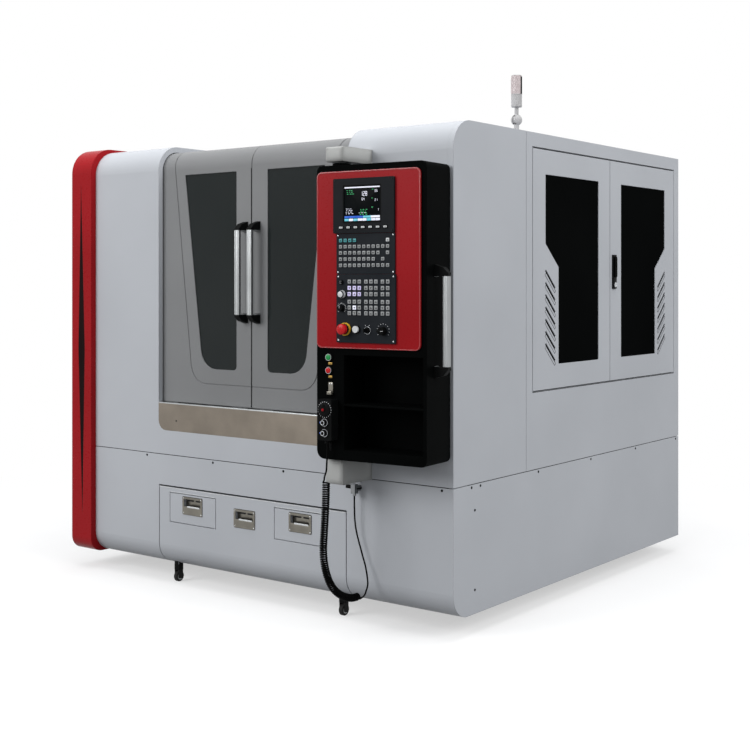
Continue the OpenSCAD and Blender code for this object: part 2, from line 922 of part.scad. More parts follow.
module door_sheet() {
    x0 = seam_gap / 2;
    runner_w = 80;
    runner_in = 40;
    runner_back = 5;
    difference() {
        union() {
            along_x(x0, door_w) door_section(door_skin);
            for (x = [x0, x0 + door_w - door_fold_w])
                along_x(x, door_fold_w) door_section(door_fold);
            block([x0, door_back, door_z], [door_w, door_fold, door_fold_w]);
            for (x = [x0 + runner_in, x0 + door_w - runner_in - runner_w])
                block([x, door_back + runner_back, sill_z - sill_t + fit],
                    [runner_w, door_fold - runner_back, door_z - sill_z + sill_t + cut]);
        }
        along_y(0, door_back + door_r) window_outline();
        intersection() {
            along_y(0, door_back + door_r) line_outline();
            along_x(0, door_w + cut) door_section(line_t);
        }
    }
}

module door_pane() {
    x0 = window_in - pane_lap;
    block([x0, door_back + door_skin, window_z - pane_lap],
        [window_top_w + 2 * pane_lap, pane_t, window_h + 2 * pane_lap]);
}

// Bar with an angled bracket at each end, standing on the plane y = 0
module bar_handle(z, l) {
    out = bar_gap + bar_t;
    edge_r = 5;
    tip = 6;
    knee = [4, bracket_l * 0.7];
    root = [10, 8];
    translate([-bar_w / 2, -out, z]) linear_extrude(l) polygon(box_outline([bar_w, bar_t], edge_r));
    for (end = [0, 1])
        translate([0, 0, end == 0 ? z : z + l]) mirror([0, 0, end == 0 ? 0 : 1]) along_x(-bar_w / 2, bar_w)
            polygon([[-out, 0], [-out, -tip], [-bar_gap + knee.x, -knee.y], [0, -bracket_l], [0, root.y],
                [-bar_gap + root.x, 0]]);
}

module door_handle() {
    translate([bar_side, door_back, 0]) bar_handle(bar_z, bar_l);
}

module door_left() {
    color(grey) cab() at_seam(-1) door_sheet();
}

module door_right() {
    color(grey) cab() at_seam(1) door_sheet();
}

module door_left_glass() {
    color(dark_glass) cab() at_seam(-1) door_pane();
}

module door_right_glass() {
    color(dark_glass) cab() at_seam(1) door_pane();
}

module door_handle_left() {
    color(metal) cab() at_seam(-1) door_handle();
}

module door_handle_right() {
    color(metal) cab() at_seam(1) door_handle();
}

// Side doors: the rear one is the front one mirrored about the middle of the pair

function side_hinge_y(i) = i == 0 ? leaf_y + hinge_in : 2 * side_mid - leaf_y - hinge_in;

module at_pair(i) {
    translate([0, side_mid, 0]) mirror([0, i, 0]) translate([0, -side_mid, 0]) children();
}

module side_window() {
    translate([side_y + pane_y, side_z + pane_z])
        polygon(rounded([[step_y, 0], [pane_w, 0], [pane_w, pane_h], [0, pane_h], [0, step_z + step_rise],
            [step_y, step_z]], [pane_r, pane_r, pane_r, pane_r, step_r, step_r]));
}

module side_slots() {
    slot_w = 10;
    slot_pitch = 51.7;
    slot_head = 15;
    slot_run = [82, 76];
    last = floor((step_z - slot_head - slot_run.y) / slot_pitch);
    for (i = [0:1:last])
        translate([side_y + pane_y, side_z + pane_z + step_z - slot_head - i * slot_pitch])
            polygon(ribbon([[0, 0], [slot_run.x, -slot_run.y]], slot_w));
}

module side_leaf() {
    difference() {
        block([cabinet_w - side_t, leaf_y, leaf_z], [side_t, leaf_w, leaf_h]);
        block([cabinet_w - side_t - cut, leaf_y + side_rim, leaf_z + side_rim],
            [side_t - side_skin + cut, leaf_w - 2 * side_rim, leaf_h - 2 * side_rim]);
        along_x(cabinet_w - side_t - cut, side_t + 2 * cut) {
            side_window();
            side_slots();
        }
        for (z = [leaf_z - cut, leaf_z + leaf_h - hinge_l - cut])
            translate([cabinet_w - hinge_in, side_hinge_y(0), z])
                cylinder(r = hinge_r + running, h = hinge_l + 2 * cut);
    }
}

module side_pane() {
    block([cabinet_w - side_skin - pane_t, side_y + pane_y - pane_lap, side_z + pane_z - pane_lap],
        [pane_t, pane_w + 2 * pane_lap, pane_h + 2 * pane_lap]);
}

module side_door_front() {
    color(white) cab() side_leaf();
}

module side_door_rear() {
    color(white) cab() difference() {
        union() {
            at_pair(1) side_leaf();
            along_x(cabinet_w - side_skin, side_skin + lock_t) translate([lock_y - lock_w / 2, lock_z])
                polygon(box_outline([lock_w, lock_h], lock_r));
            translate([cabinet_w, lock_y, lock_z + lock_key_up]) rotate([0, 90, 0])
                cylinder(r = lock_key_r, h = lock_key_l);
        }
        translate([cabinet_w - cut, lock_y, lever_z]) rotate([0, 90, 0])
            cylinder(r = lever_pin_r + running, h = lock_t + 2 * cut);
    }
}

module side_lock_lever() {
    color(black) cab() translate([cabinet_w + lock_t, lock_y, lever_z]) {
        translate([-lock_t + fit, 0, 0]) rotate([0, 90, 0])
            cylinder(r = lever_pin_r, h = lock_t + lever_pin_in);
        translate([fit, -lever_w / 2, lever_over - lever_l]) rotate([90, 0, 90]) linear_extrude(lever_t)
            polygon(box_outline([lever_w, lever_l], lever_r));
    }
}

module side_glass_front() {
    color(black) cab() side_pane();
}

module side_glass_rear() {
    color(black) cab() at_pair(1) side_pane();
}

// Signal lamp

module lamp_mast() {
    flange_r = 18;
    flange_h = 6;
    stem_r = 11;
    slot_w = tongue_w + 2 * fit;
    slot_z = -knuckle_r - cut;
    half = knuckle_ball_r + cut;
    color(metal) cab() translate([lamp_x, lamp_y, cabinet_h]) {
        cylinder(r = flange_r, h = flange_h);
        cylinder(r = stem_r, h = knuckle_up + slot_z);
        translate([0, 0, knuckle_up]) {
            difference() {
                sphere(knuckle_ball_r);
                block([-slot_w / 2, -half, slot_z], [slot_w, 2 * half, half - slot_z]);
            }
            rotate([0, 90, 0]) cylinder(r = knuckle_pin_r, h = slot_w + 2 * cut, center = true);
        }
    }
}

module lamp_body() {
    color(grey) cab() translate([lamp_x, lamp_y, knuckle_z]) {
        difference() {
            union() {
                rotate([0, 90, 0]) cylinder(r = knuckle_r, h = tongue_w, center = true);
                cylinder(r = tongue_w / 2, h = lamp_z + cut);
            }
            rotate([0, 90, 0]) cylinder(r = knuckle_pin_r + running, h = tongue_w + 2 * cut, center = true);
        }
        translate([0, 0, lamp_z]) rotate_extrude()
            polygon([[0, 0], [lamp_r - lamp_edge, 0], [lamp_r, lamp_edge], [lamp_r, lamp_h], [0, lamp_h]]);
    }
}

module lamp_lens() {
    color("#d8b8b8") cab() translate([lamp_x, lamp_y, knuckle_z + lamp_z + lamp_h]) rotate_extrude()
        polygon([[0, 0], [lamp_r, 0], [lamp_r, lens_h - lamp_edge], [lamp_r - lamp_edge, lens_h], [0, lens_h]]);
}

// Trolley with tank and chip drawers

module pull_recess(x, z) {
    rim = pull_rim - pull_lap;
    block([x - pull_w / 2 + rim, -cut, z + rim], [pull_w - 2 * rim, pull_d + cut, pull_h - 2 * rim]);
}

// Stainless frame of a flush pull, with the lip that the fingers hold
module pull_frame(x, z) {
    left = x - pull_w / 2 + pull_rim;
    gap_w = pull_w - 2 * pull_rim;
    difference() {
        along_y(-pull_proud, 2 * pull_proud) translate([x - pull_w / 2, z])
            polygon(box_outline([pull_w, pull_h], pull_r));
        block([left, -pull_proud - cut, z + pull_lip],
            [gap_w, 2 * (pull_proud + cut), pull_h - pull_lip - pull_rim]);
        block([left, 0, z + pull_rim], [gap_w, pull_proud + cut, pull_h - 2 * pull_rim]);
    }
}

module trolley_front() {
    along_x(trolley_x, trolley_w) intersection() {
        side_band(0, 0, 0, panel_t);
        height_range(0, trolley_h);
        square([under_fold, cabinet_h]);
    }
}

module trolley_tank() {
    color(white) cab() {
        difference() {
            trolley_front();
            for (x = drawer_x)
                block([x - seam_gap, -cut, drawer_z - seam_gap],
                    [drawer_w + 2 * seam_gap, panel_t + 2 * cut, drawer_h + 2 * seam_gap]);
            pull_recess(front_pull.x, front_pull.y);
        }
        pull_frame(front_pull.x, front_pull.y);
        difference() {
            block([trolley_x, panel_t, bottom_r], [trolley_w, trolley_d - panel_t, trolley_h - bottom_r]);
            block([trolley_x + tank_t, panel_t - cut, bottom_r - cut],
                [trolley_w - 2 * tank_t, trolley_d - panel_t - tank_t + cut, trolley_h]);
        }
        difference() {
            block([trolley_x, bottom_r, tank_z], [trolley_w, trolley_d - bottom_r, bottom_r - tank_z + cut]);
            block([trolley_x + tank_t, bottom_r - cut, tank_z + tank_t],
                [trolley_w - 2 * tank_t, trolley_d - bottom_r - tank_t + cut, bottom_r]);
        }
        for (x = drawer_x)
            block([x, panel_t - cut, drawer_z - fit - runner_h],
                [drawer_w, trolley_d - panel_t - tank_t + 2 * cut, runner_h]);
        for (x = [trolley_x + wheel_x, trolley_end - wheel_x], y = wheel_y)
            wheel_fork(x, y);
    }
}

module wheel_fork(x, y) {
    gap = wheel_w + 2 * fit;
    axle_z = floor_z + wheel_r;
    low_z = axle_z - fork_under;
    room_z = axle_z + wheel_r + wheel_room;
    top_z = tank_z + tank_t;
    for (s = [-1, 1])
        translate([x + s * (gap + fork_t) / 2 - fork_t / 2, y, 0]) along_x(0, fork_t)
            polygon(rounded([[-fork_d / 2, top_z], [fork_d / 2, top_z], [fork_foot / 2, low_z],
                [-fork_foot / 2, low_z]], [0, 0, fork_r, fork_r]));
    block([x - gap / 2 - fork_t, y - fork_d / 2, room_z], [gap + 2 * fork_t, fork_d, top_z - room_z]);
    translate([x, y, axle_z]) rotate([0, 90, 0]) cylinder(r = axle_r, h = gap + 2 * fork_t, center = true);
}

module wheel(x, y) {
    tread_r = 4;
    translate([x, y, floor_z + wheel_r]) rotate([0, 90, 0]) difference() {
        translate([0, 0, -wheel_w / 2]) rotate_extrude()
            polygon(rounded([[0, 0], [wheel_r, 0], [wheel_r, wheel_w], [0, wheel_w]],
                [0, tread_r, tread_r, 0]));
        cylinder(r = axle_r + running, h = wheel_w + 2 * cut, center = true);
    }
}

module wheel_front_left() {
    color(black) cab() wheel(trolley_x + wheel_x, wheel_y[0]);
}

module wheel_front_right() {
    color(black) cab() wheel(trolley_end - wheel_x, wheel_y[0]);
}

module wheels_rear() {
    color(black) cab() for (x = [trolley_x + wheel_x, trolley_end - wheel_x]) wheel(x, wheel_y[1]);
}

module chip_drawer(x) {
    pull_z = drawer_z + drawer_pull_up;
    mid = x + drawer_w / 2;
    box_w = drawer_w - 2 * drawer_side;
    difference() {
        block([x, 0, drawer_z], [drawer_w, drawer_face_t, drawer_h]);
        pull_recess(mid, pull_z);
    }
    pull_frame(mid, pull_z);
    difference() {
        block([x + drawer_side, drawer_face_t - cut, drawer_z], [box_w, drawer_d, drawer_h - drawer_low]);
        block([x + drawer_side + tank_t, drawer_face_t, drawer_z + tank_t],
            [box_w - 2 * tank_t, drawer_d - tank_t - cut, drawer_h]);
    }
}

module drawer_left() {
    color(white) cab() chip_drawer(drawer_x[0]);
}

module drawer_right() {
    color(white) cab() chip_drawer(drawer_x[1]);
}

// Operator pendant

module on_pendant() {
    cab() translate([pivot_x, -pivot_y, 0]) rotate([0, 0, pendant_turn])
        translate([-pivot_in, -pivot_deep, 0]) children();
}

// Places a control on the pendant's front, its axis pointing out
module on_front(at, out) {
    on_pendant() translate([at.x, -out, at.y]) rotate([90, 0, 0]) children();
}

module pendant_outline() {
    translate([0, pendant_z])
        polygon(rounded([[0, 0], [pendant_w, 0], [pendant_w, pendant_h], [0, pendant_h]],
            [pendant_low_r, pendant_r, pendant_r, pendant_r]));
}

module pendant_shell() {
    half_board = shelf_board / 2;
    shelves = [[shelf_z, shelf_split - half_board], [shelf_split + half_board, shelf_z + shelf_h]];
    top_wall = 14;
    button_collar = [15, 5];
    hook = [20, 14, 46];
    hook_t = 3;
    hook_lip = 12;
    color(black) {
        on_pendant() difference() {
            along_y(0, pendant_d - shell_t) pendant_outline();
            for (z = shelves)
                block([strip_w, -cut, z[0]], [pendant_w - strip_w - shelf_side, shelf_d + cut, z[1] - z[0]]);
            block([shell_t, shell_t, face_z],
                [pendant_w - 2 * shell_t, pendant_d, pendant_z + pendant_h - pivot_l - top_wall - face_z]);
            for (z = [pendant_z - cut, pendant_z + pendant_h - pivot_l - fit])
                translate([pivot_in, pivot_deep, z]) cylinder(r = pivot_r + running, h = pivot_l + fit + cut);
            for (at = [start_at, stop_at])
                translate([at.x, button_bore, at.y]) rotate([90, 0, 0])
                    cylinder(r = button_r + fit, h = button_bore + cut);
        }
        for (at = [start_at, stop_at])
            on_front(at, 0) ring(button_collar[0], button_r + fit, button_collar[1]);
        on_pendant() {
            block([hook_at.x, -hook_t, hook_at.y], [hook.x, hook_t, hook.z]);
            block([hook_at.x, -hook.y, hook_at.y], [hook.x, hook.y, hook_t]);
            block([hook_at.x, -hook.y, hook_at.y], [hook.x, hook_t, hook_lip]);
            translate([pivot_in, pivot_deep, pendant_z + pendant_h])
                ring(collar_r, pivot_r + running, collar_h);
        }
    }
}

module pendant_back() {
    color(black) on_pendant() along_y(pendant_d - shell_t, shell_t) pendant_outline();
}

module pendant_face() {
    color(red) on_pendant() along_y(-face_t, face_t) translate([face_x, face_z])
        polygon(box_outline([face_w, face_h], pendant_r));
}

// Plate on the red face, drawn from its own lower left corner
module face_plate(at, size, t) {
    plate_r = 4;
    on_pendant() along_y(-face_t - t, t) translate(at) polygon(box_outline(size, plate_r));
}

module key(at, size, out) {
    on_pendant() block([at.x - size.x / 2, -out - key_out, at.y - size.y / 2],
        [size.x, key_out + cut, size.y]);
}

module screen_unit() {
    key_size = [20, 12];
    key_pitch = 33;
    key_up = 22;
    color(black) {
        difference() {
            face_plate(screen_at, screen_size, screen_t);
            on_pendant() block([lcd_at.x, -face_t - screen_t - cut, lcd_at.y],
                [lcd_size.x, lcd_deep + cut, lcd_size.y]);
        }
        for (i = [-3:3])
            key([screen_at.x + screen_size.x / 2 + i * key_pitch, screen_at.y + key_up], key_size,
                face_t + screen_t);
    }
}

module key_panel() {
    full = [0, 1, 2, 3, 4, 5, 6, 7, 8, 9, 10];
    rows = [[0, 1, 2, 3, 10], full, [0, 1, 2, 3, 4, 5, 6, 7, 8, 10], [0, 1, 2, 3, 4, 5, 6, 7, 9], full];
    first = [20, 26];
    pitch = [21, 23.6];
    key_size = [16, 15];
    color(black) {
        face_plate(keys_at, keys_size, keys_t);
        for (row = [0:len(rows) - 1], i = rows[row])
            key([keys_at.x + first.x + i * pitch.x, keys_at.y + keys_size.y - first.y - row * pitch.y],
                key_size, face_t + keys_t);
    }
}

module operation_panel() {
    columns = [60, 83, 105, 135, 157, 179, 208, 231];
    rows = [231, 207, 184, 155, 133, 112];
    key_size = [17, 17];
    push_bore = 7;
    estop_ring = [24, 8];
    push_ring = [16, 4];
    pilot = [15, 14];
    small_knob = [8, 8];
    color(black) {
        difference() {
            face_plate(panel_at, panel_size, plate_t);
            for (at = [override_at, mode_at, key_at])
                on_front(at, panel_out) shaft_hole(shaft_r + running, shaft_bore);
            on_front(estop_at, panel_out) shaft_hole(stem_r + fit, shaft_bore);
            on_front(push_at, panel_out) shaft_hole(push_r + fit, push_bore);
        }
        for (x = columns, z = rows)
            key(panel_at + [x, z], key_size, panel_out);
        on_front(estop_at, panel_out) ring(estop_ring[0], stem_r + fit, estop_ring[1]);
        on_front(push_at, panel_out) ring(push_ring[0], push_r + fit, push_ring[1]);
        on_front(pilot_at, panel_out) cylinder(r = pilot[0], h = pilot[1]);
        on_front(small_knob_at, panel_out) cylinder(r = small_knob[0], h = small_knob[1]);
    }
}

module shaft_hole(r, deep) {
    translate([0, 0, -deep]) cylinder(r = r, h = deep + cut);
}

module ring(outer, inner, h) {
    difference() {
        cylinder(r = outer, h = h);
        translate([0, 0, -cut]) cylinder(r = inner, h = h + 2 * cut);
    }
}

module estop_button() {
    cap_z = 18;
    color(red) on_front(estop_at, panel_out) {
        cylinder(r = stem_r, h = cap_z + cut);
        translate([0, 0, cap_z]) rotate_extrude()
            polygon(rounded([[0, 0], [17, 0], [20, 5], [19, 15], [0, 18]], [0, 1, 3, 4, 0]));
    }
}

module push_button() {
    push_in = 2;
    push_out = 4;
    color("#d9dadb") on_front(push_at, panel_out) translate([0, 0, -push_in])
        cylinder(r = push_r, h = push_in + push_out + 2 * button_travel);
}

// Pointer knob on a thin shaft
module knob(r, h) {
    mark = [3, r * 0.75, 1.5];
    translate([0, 0, fit]) rotate_extrude()
        polygon(rounded([[0, 0], [r, 0], [r * 0.86, h], [0, h]], [0, 1, 2, 0]));
    translate([0, 0, -shaft_l]) cylinder(r = shaft_r, h = shaft_l + shaft_in);
    translate([-mark.x / 2, 0, h]) cube(mark);
}

module override_knob() {
    color(black) on_front(override_at, panel_out) knob(13, 16);
}

module mode_knob() {
    color(black) on_front(mode_at, panel_out) knob(17, 20);
}

module key_switch() {
    lock_size = [11, 9];
    bow = [2.4, 14, 18];
    color(metal) on_front(key_at, panel_out) {
        knob(lock_size[0], lock_size[1]);
        translate([-bow.x / 2, -bow.y / 2, lock_size[1]]) cube(bow);
    }
}

module button_cap(at) {
    cap_in = 10;
    cap_h = 20;
    cap_edge = 2;
    on_front(at, 0) translate([0, 0, -cap_in]) rotate_extrude()
        polygon(rounded([[0, 0], [button_r, 0], [button_r, cap_h - 1], [0, cap_h]], [0, 0, cap_edge, 0]));
}

module start_button() {
    color("#1f9b4d") button_cap(start_at);
}

module stop_button() {
    color("#b3161d") button_cap(stop_at);
}

module pendant_handle() {
    grip_front = 20;
    color(metal) on_pendant() translate([pendant_w, pendant_d / 2 - grip_front, 0]) rotate([0, 0, 90])
        bar_handle(grip_z, grip_l);
}

// Hand unit with its handwheel dial

module hand_unit() {
    unit_r = 9;
    gland_r = 8;
    gland_front = 3;
    color(black) {
        difference() {
            on_pendant() along_y(-unit_d, unit_d) translate(unit_at) polygon(box_outline(unit_size, unit_r));
            for (at = [dial_at, axis_at, rate_at])
                on_front(at, unit_d) shaft_hole(shaft_r + running, shaft_bore);
        }
        on_pendant() translate([gland_at.x, -unit_d / 2 - gland_front, gland_at.y])
            cylinder(r = gland_r, h = unit_at.y - gland_at.y + cut);
    }
}

module hand_dial() {
    rim = [27, 6];
    hub = [16, 9];
    crank_r = 4;
    crank_at = 17;
    color(black) on_front(dial_at, unit_d) {
        translate([0, 0, fit]) rotate_extrude()
            polygon(rounded([[0, 0], [rim.x, 0], rim, hub, [0, hub.y]], [0, 1, 1, 2, 0]));
        translate([0, 0, -shaft_l]) cylinder(r = shaft_r, h = shaft_l + shaft_in);
        translate([0, crank_at, rim.y]) cylinder(r = crank_r, h = hub.y);
    }
}

module hand_axis_knob() {
    color(metal) on_front(axis_at, unit_d) knob(13, 14);
}

module hand_rate_knob() {
    color(metal) on_front(rate_at, unit_d) knob(13, 14);
}

// Cord of the hand unit

module cord_leads() {
    color(black) cab() translate([pivot_x, 0, 0]) {
        tube(smooth(lead_top, 4), cord_r);
        tube(smooth(lead_bottom, 4), cord_r);
    }
}

module cord_coil() {
    color(black) cab() translate([pivot_x, 0, 0]) tube(smooth(coil_route, 2), coil_r, 12);
}

module cord_connector() {
    plug = lead_bottom[len(lead_bottom) - 1];
    body = [20, 22, 38];
    body_up = 8;
    sleeve = [7, 12];
    stud_r = 12;
    lever = [30, 12, 14];
    mid_up = body_up + body.z / 2;
    color(metal) cab() translate([pivot_x + plug.x, plug.y, plug.z + fit]) {
        cylinder(r = sleeve[0], h = sleeve[1]);
        translate([-body.x / 2, -body.y / 2, body_up]) cube(body);
        translate([0, -plug.y, mid_up]) rotate([90, 0, 0]) cylinder(r = stud_r, h = -plug.y);
        translate([-body.x / 2 - lever.x, -lever.y / 2, mid_up]) cube([lever.x + cut, lever.y, lever.z]);
    }
}

red_end_frame();
taper_insert();
front_frame();
roof_panel();
left_wall();
right_wall();
rear_wall();
base_skirt();
sill_strip();
pendant_arms();
levelling_feet();
machine_bed();
gantry_bridge();
guideways();
servo_motors();
work_table();
x_saddle();
z_head();
spindle_nose();
door_left();
door_left_glass();
door_handle_left();
door_right();
door_right_glass();
door_handle_right();
side_door_front();
side_glass_front();
side_door_rear();
side_glass_rear();
side_lock_lever();
lamp_mast();
lamp_body();
lamp_lens();
trolley_tank();
drawer_left();
drawer_right();
wheel_front_left();
wheel_front_right();
wheels_rear();
pendant_shell();
pendant_back();
pendant_face();
screen_unit();
key_panel();
operation_panel();
estop_button();
push_button();
override_knob();
mode_knob();
key_switch();
start_button();
stop_button();
pendant_handle();
hand_unit();
hand_dial();
hand_axis_knob();
hand_rate_knob();
cord_leads();
cord_coil();
cord_connector();
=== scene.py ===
"""Dresses the engraving machine: camera, cord, finishes, fittings, control panels, light and floor."""
import json
import math

import bmesh
import bpy
import numpy as np
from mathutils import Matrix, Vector


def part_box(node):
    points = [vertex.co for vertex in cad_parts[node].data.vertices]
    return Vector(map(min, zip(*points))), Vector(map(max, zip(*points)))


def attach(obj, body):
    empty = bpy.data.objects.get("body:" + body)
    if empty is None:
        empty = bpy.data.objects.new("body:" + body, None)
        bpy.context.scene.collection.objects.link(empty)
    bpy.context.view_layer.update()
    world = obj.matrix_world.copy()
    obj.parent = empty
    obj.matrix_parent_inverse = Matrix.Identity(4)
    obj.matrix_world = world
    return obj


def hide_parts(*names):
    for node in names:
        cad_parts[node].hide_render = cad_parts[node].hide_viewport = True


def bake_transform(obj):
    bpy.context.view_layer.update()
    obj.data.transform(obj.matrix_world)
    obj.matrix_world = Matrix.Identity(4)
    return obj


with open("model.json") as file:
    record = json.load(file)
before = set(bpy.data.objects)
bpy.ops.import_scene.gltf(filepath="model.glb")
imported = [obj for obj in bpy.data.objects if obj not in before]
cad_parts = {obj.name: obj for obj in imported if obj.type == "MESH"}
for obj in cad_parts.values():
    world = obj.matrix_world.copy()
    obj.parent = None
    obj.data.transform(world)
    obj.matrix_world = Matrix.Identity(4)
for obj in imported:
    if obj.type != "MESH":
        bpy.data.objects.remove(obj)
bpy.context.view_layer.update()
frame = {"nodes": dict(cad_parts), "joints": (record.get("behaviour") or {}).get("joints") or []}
nodes = frame["nodes"]
joint = {entry["name"]: entry for entry in frame["joints"]}
scene = bpy.context.scene
scene.view_settings.view_transform = "Standard"
MM = 0.001

# The photograph's camera: level, its frame shifted down to show the floor line
SENSOR_MM, FOCAL_MM, SHIFT_PX, PHOTO_PX = 36, 60.2, -94, 750
EYE_M, HEADING_DEG = (3.69906, -4.83648, 1.3704), 37.318
lens = bpy.data.cameras.new("photo_view")
lens.sensor_width, lens.lens, lens.shift_y = SENSOR_MM, FOCAL_MM, SHIFT_PX / PHOTO_PX
camera = bpy.data.objects.new("photo_view", lens)
camera.location = EYE_M
camera.rotation_euler = (math.pi / 2, 0, math.radians(HEADING_DEG))
scene.collection.objects.link(camera)
scene.camera = camera

# Places on the machine
X, Y, Z = np.eye(3)
left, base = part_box("red_end_frame")[0][0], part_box("red_end_frame")[0][2]
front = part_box("front_frame")[0][1]
inward = np.array(joint["estop_press"]["axis"])
across = np.array([inward[1], -inward[0], 0.0])
swivel = np.array(joint["pendant_swivel"]["pos_m"])
# The operator box's pivot in mm: along the cabinet, in from the box's left side and back from its front
PIVOT_X, PIVOT_IN, PIVOT_DEEP = 1758, 55, 89

# Each face of the machine as three axes: along it, up it and out of it
FRONT, SIDE, ROOF, REAR, LEFT = (X, Z, -Y), (Y, Z, X), (X, Y, Z), (-X, Z, Y), (-Y, Z, -X)
PANEL, DOWN = (across, Z, -inward), (inward, across, -Z)


def cab(x, y, z):
    """A place on the cabinet, in mm from its left face, its front panels and its underside."""
    return np.array([left + x * MM, front + y * MM, base + z * MM])


def pend(x, z, out=0.0):
    """A place on the operator box, in mm from its left side, over the cabinet's underside and out of its
    front."""
    spot = swivel + (across * (x - PIVOT_IN) - inward * (out + PIVOT_DEEP)) * MM
    return np.array([spot[0], spot[1], base + z * MM])


# Shapes: points nearer than the first value are one, and edges that turn by more than the second are sharp
MERGE_M, SHARP_DEG = 2e-6, 35


def unit(vectors):
    """Each vector divided by its own length."""
    return vectors / np.linalg.norm(vectors, axis=-1, keepdims=True)


def rounded(axes, at, size, r, steps, n=16):
    """Rings of a rounded plate: each step (inset, height) draws the rectangle in by the inset, turns its
    corners with a quarter circle, radius less the inset, and lifts that outline along the outward axis."""
    inset, height = np.array(steps, float).T
    half = np.maximum(np.array(size) / 2 - inset[:, None], 0.0)
    bend = np.clip(r - inset, 0.0, half.min(axis=1))[:, None, None]
    turn = (np.arange(n) + 0.5) * 2 * np.pi / n
    corner = np.stack([np.cos(turn), np.sin(turn)], axis=1)[None]
    flat = np.sign(corner) * (half[:, None] - bend) + corner * bend
    return at + (flat[..., :1] * axes[0] + flat[..., 1:] * axes[1] + height[:, None, None] * axes[2]) * MM


def plate(axes, at, size, height, r=1.0, edge=0.4, n=16, sink=0.3):
    """A closed plate with an eased front edge, from just under the surface up to its height."""
    mid, e = min(size) / 2, 0.3 * edge
    steps = [(mid, -sink), (0, -sink), (0, height - edge), (e, height - e), (edge, height), (mid, height)]
    return rounded(axes, at, size, r, steps, n)


def disc(axes, at, r, height, edge=0.5, n=32, sink=0.3):
    """A round plate."""
    return plate(axes, at, (2 * r, 2 * r), height, r, edge, n, sink)


def rim(axes, at, size, width, height, r, n=24, sink=0.3):
    """A closed frame of the given width round a rounded rectangle, with eased inner and outer edges."""
    e = min(width, height) * 0.25
    steps = [(0, -sink), (0, height - e), (e, height), (width - e, height), (width, height - e),
             (width, -sink), (0, -sink)]
    return rounded(axes, at, size, r, steps, n)


def lathe(axes, at, profile, n=32):
    """A turned shape: each (radius, height) of the profile is a full circle about the outward axis."""
    widest = max(r for r, _ in profile)
    return rounded(axes, at, (2 * widest, 2 * widest), widest, [(widest - r, h) for r, h in profile], n)


def tube(path, r, side, n=10):
    """A round section carried along a path: a circle across its direction at each point, counted from the
    side vectors, and closed at both ends by a ring drawn in to the middle."""
    ahead = unit(np.gradient(path, axis=0))
    first = unit(np.cross(ahead, side))
    second = np.cross(first, ahead)
    turn = np.arange(n) * 2 * np.pi / n
    ring = np.cos(turn)[None, :, None] * first[:, None] + np.sin(turn)[None, :, None] * second[:, None]
    body = path[:, None] + ring * r
    ends = np.repeat(path[[0, -1]][:, None], n, axis=1)
    return np.concatenate([ends[:1], body, ends[1:]])


def smooth_line(points, per):
    """A Catmull-Rom line: on each span the cubic through both ends whose slope at a point is half the step
    between that point's neighbours."""
    p = np.array(points, float)
    p = np.concatenate([2 * p[:1] - p[1:2], p, 2 * p[-1:] - p[-2:-1]])
    t = np.linspace(0, 1, per, endpoint=False)[:, None]
    a, b, c, d = p[:-3, None], p[1:-2, None], p[2:-1, None], p[3:, None]
    square, cube = 2 * a - 5 * b + 4 * c - d, 3 * b - a - 3 * c + d
    line = 0.5 * (2 * b + (c - a) * t + square * t ** 2 + cube * t ** 3)
    return np.concatenate([line.reshape(-1, 3), p[-2:-1]])


def solid(name, grids, finishes):
    """Grids of points, each with the number of its finish, as one mesh: neighbours make the faces and each
    ring closes on itself; doubles are merged and faces turned outwards."""
    points, faces, kinds, start = [], [], [], 0
    for grid, kind in grids:
        m, n = grid.shape[:2]
        row, col = np.meshgrid(np.arange(m - 1) * n, np.arange(n), indexing="ij")
        after = (col + 1) % n
        quads = np.stack([row + col, row + after, row + n + after, row + n + col], axis=-1).reshape(-1, 4)
        points.append(grid.reshape(-1, 3))
        faces.append(quads + start)
        kinds.append(np.full(len(quads), kind))
        start += m * n
    mesh = bpy.data.meshes.new(name)
    mesh.from_pydata(np.concatenate(points), [], np.concatenate(faces).tolist())
    mesh.polygons.foreach_set("material_index", np.concatenate(kinds).astype(np.int32))
    for finish in finishes:
        mesh.materials.append(finish)
    work = bmesh.new()
    work.from_mesh(mesh)
    bmesh.ops.remove_doubles(work, verts=work.verts, dist=MERGE_M)
    bmesh.ops.recalc_face_normals(work, faces=work.faces)
    work.to_mesh(mesh)
    work.free()
    mesh.polygons.foreach_set("use_smooth", np.ones(len(mesh.polygons), bool))
    mesh.set_sharp_from_angle(angle=math.radians(SHARP_DEG))
    obj = bpy.data.objects.new(name, mesh)
    scene.collection.objects.link(obj)
    return obj


def piece(name, grids, finishes, body):
    """A solid that rides on a body, with the finishes it is given."""
    obj = solid(name, [g if isinstance(g, tuple) else (g, 0) for g in grids], finishes)
    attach(obj, body)
    return obj


# Finishes: noise lies mostly between these two values, so tones and roughness run from one to the other
LOW, HIGH = 0.3, 0.7


def linear(code):
    """An sRGB hex colour as linear light."""
    c = np.array([int(code[i:i + 2], 16) for i in (1, 3, 5)]) / 255
    return (*np.where(c <= 0.04045, c / 12.92, ((c + 0.055) / 1.055) ** 2.4), 1.0)


def add(tree, kind, sockets=(), stops=(), **settings):
    """Adds a node: its settings, its sockets (a value, or another node's output to link) and its colour
    stops."""
    made = tree.nodes.new("ShaderNode" + kind)
    for key, value in settings.items():
        setattr(made, key, value)
    for key, value in dict(sockets).items():
        if isinstance(value, bpy.types.NodeSocket):
            tree.links.new(value, made.inputs[key])
        else:
            made.inputs[key].default_value = value
    for index, (spot, colour) in enumerate(stops):
        element = made.color_ramp.elements[index] if index < 2 else made.color_ramp.elements.new(spot)
        element.position, element.color = spot, colour
    return made


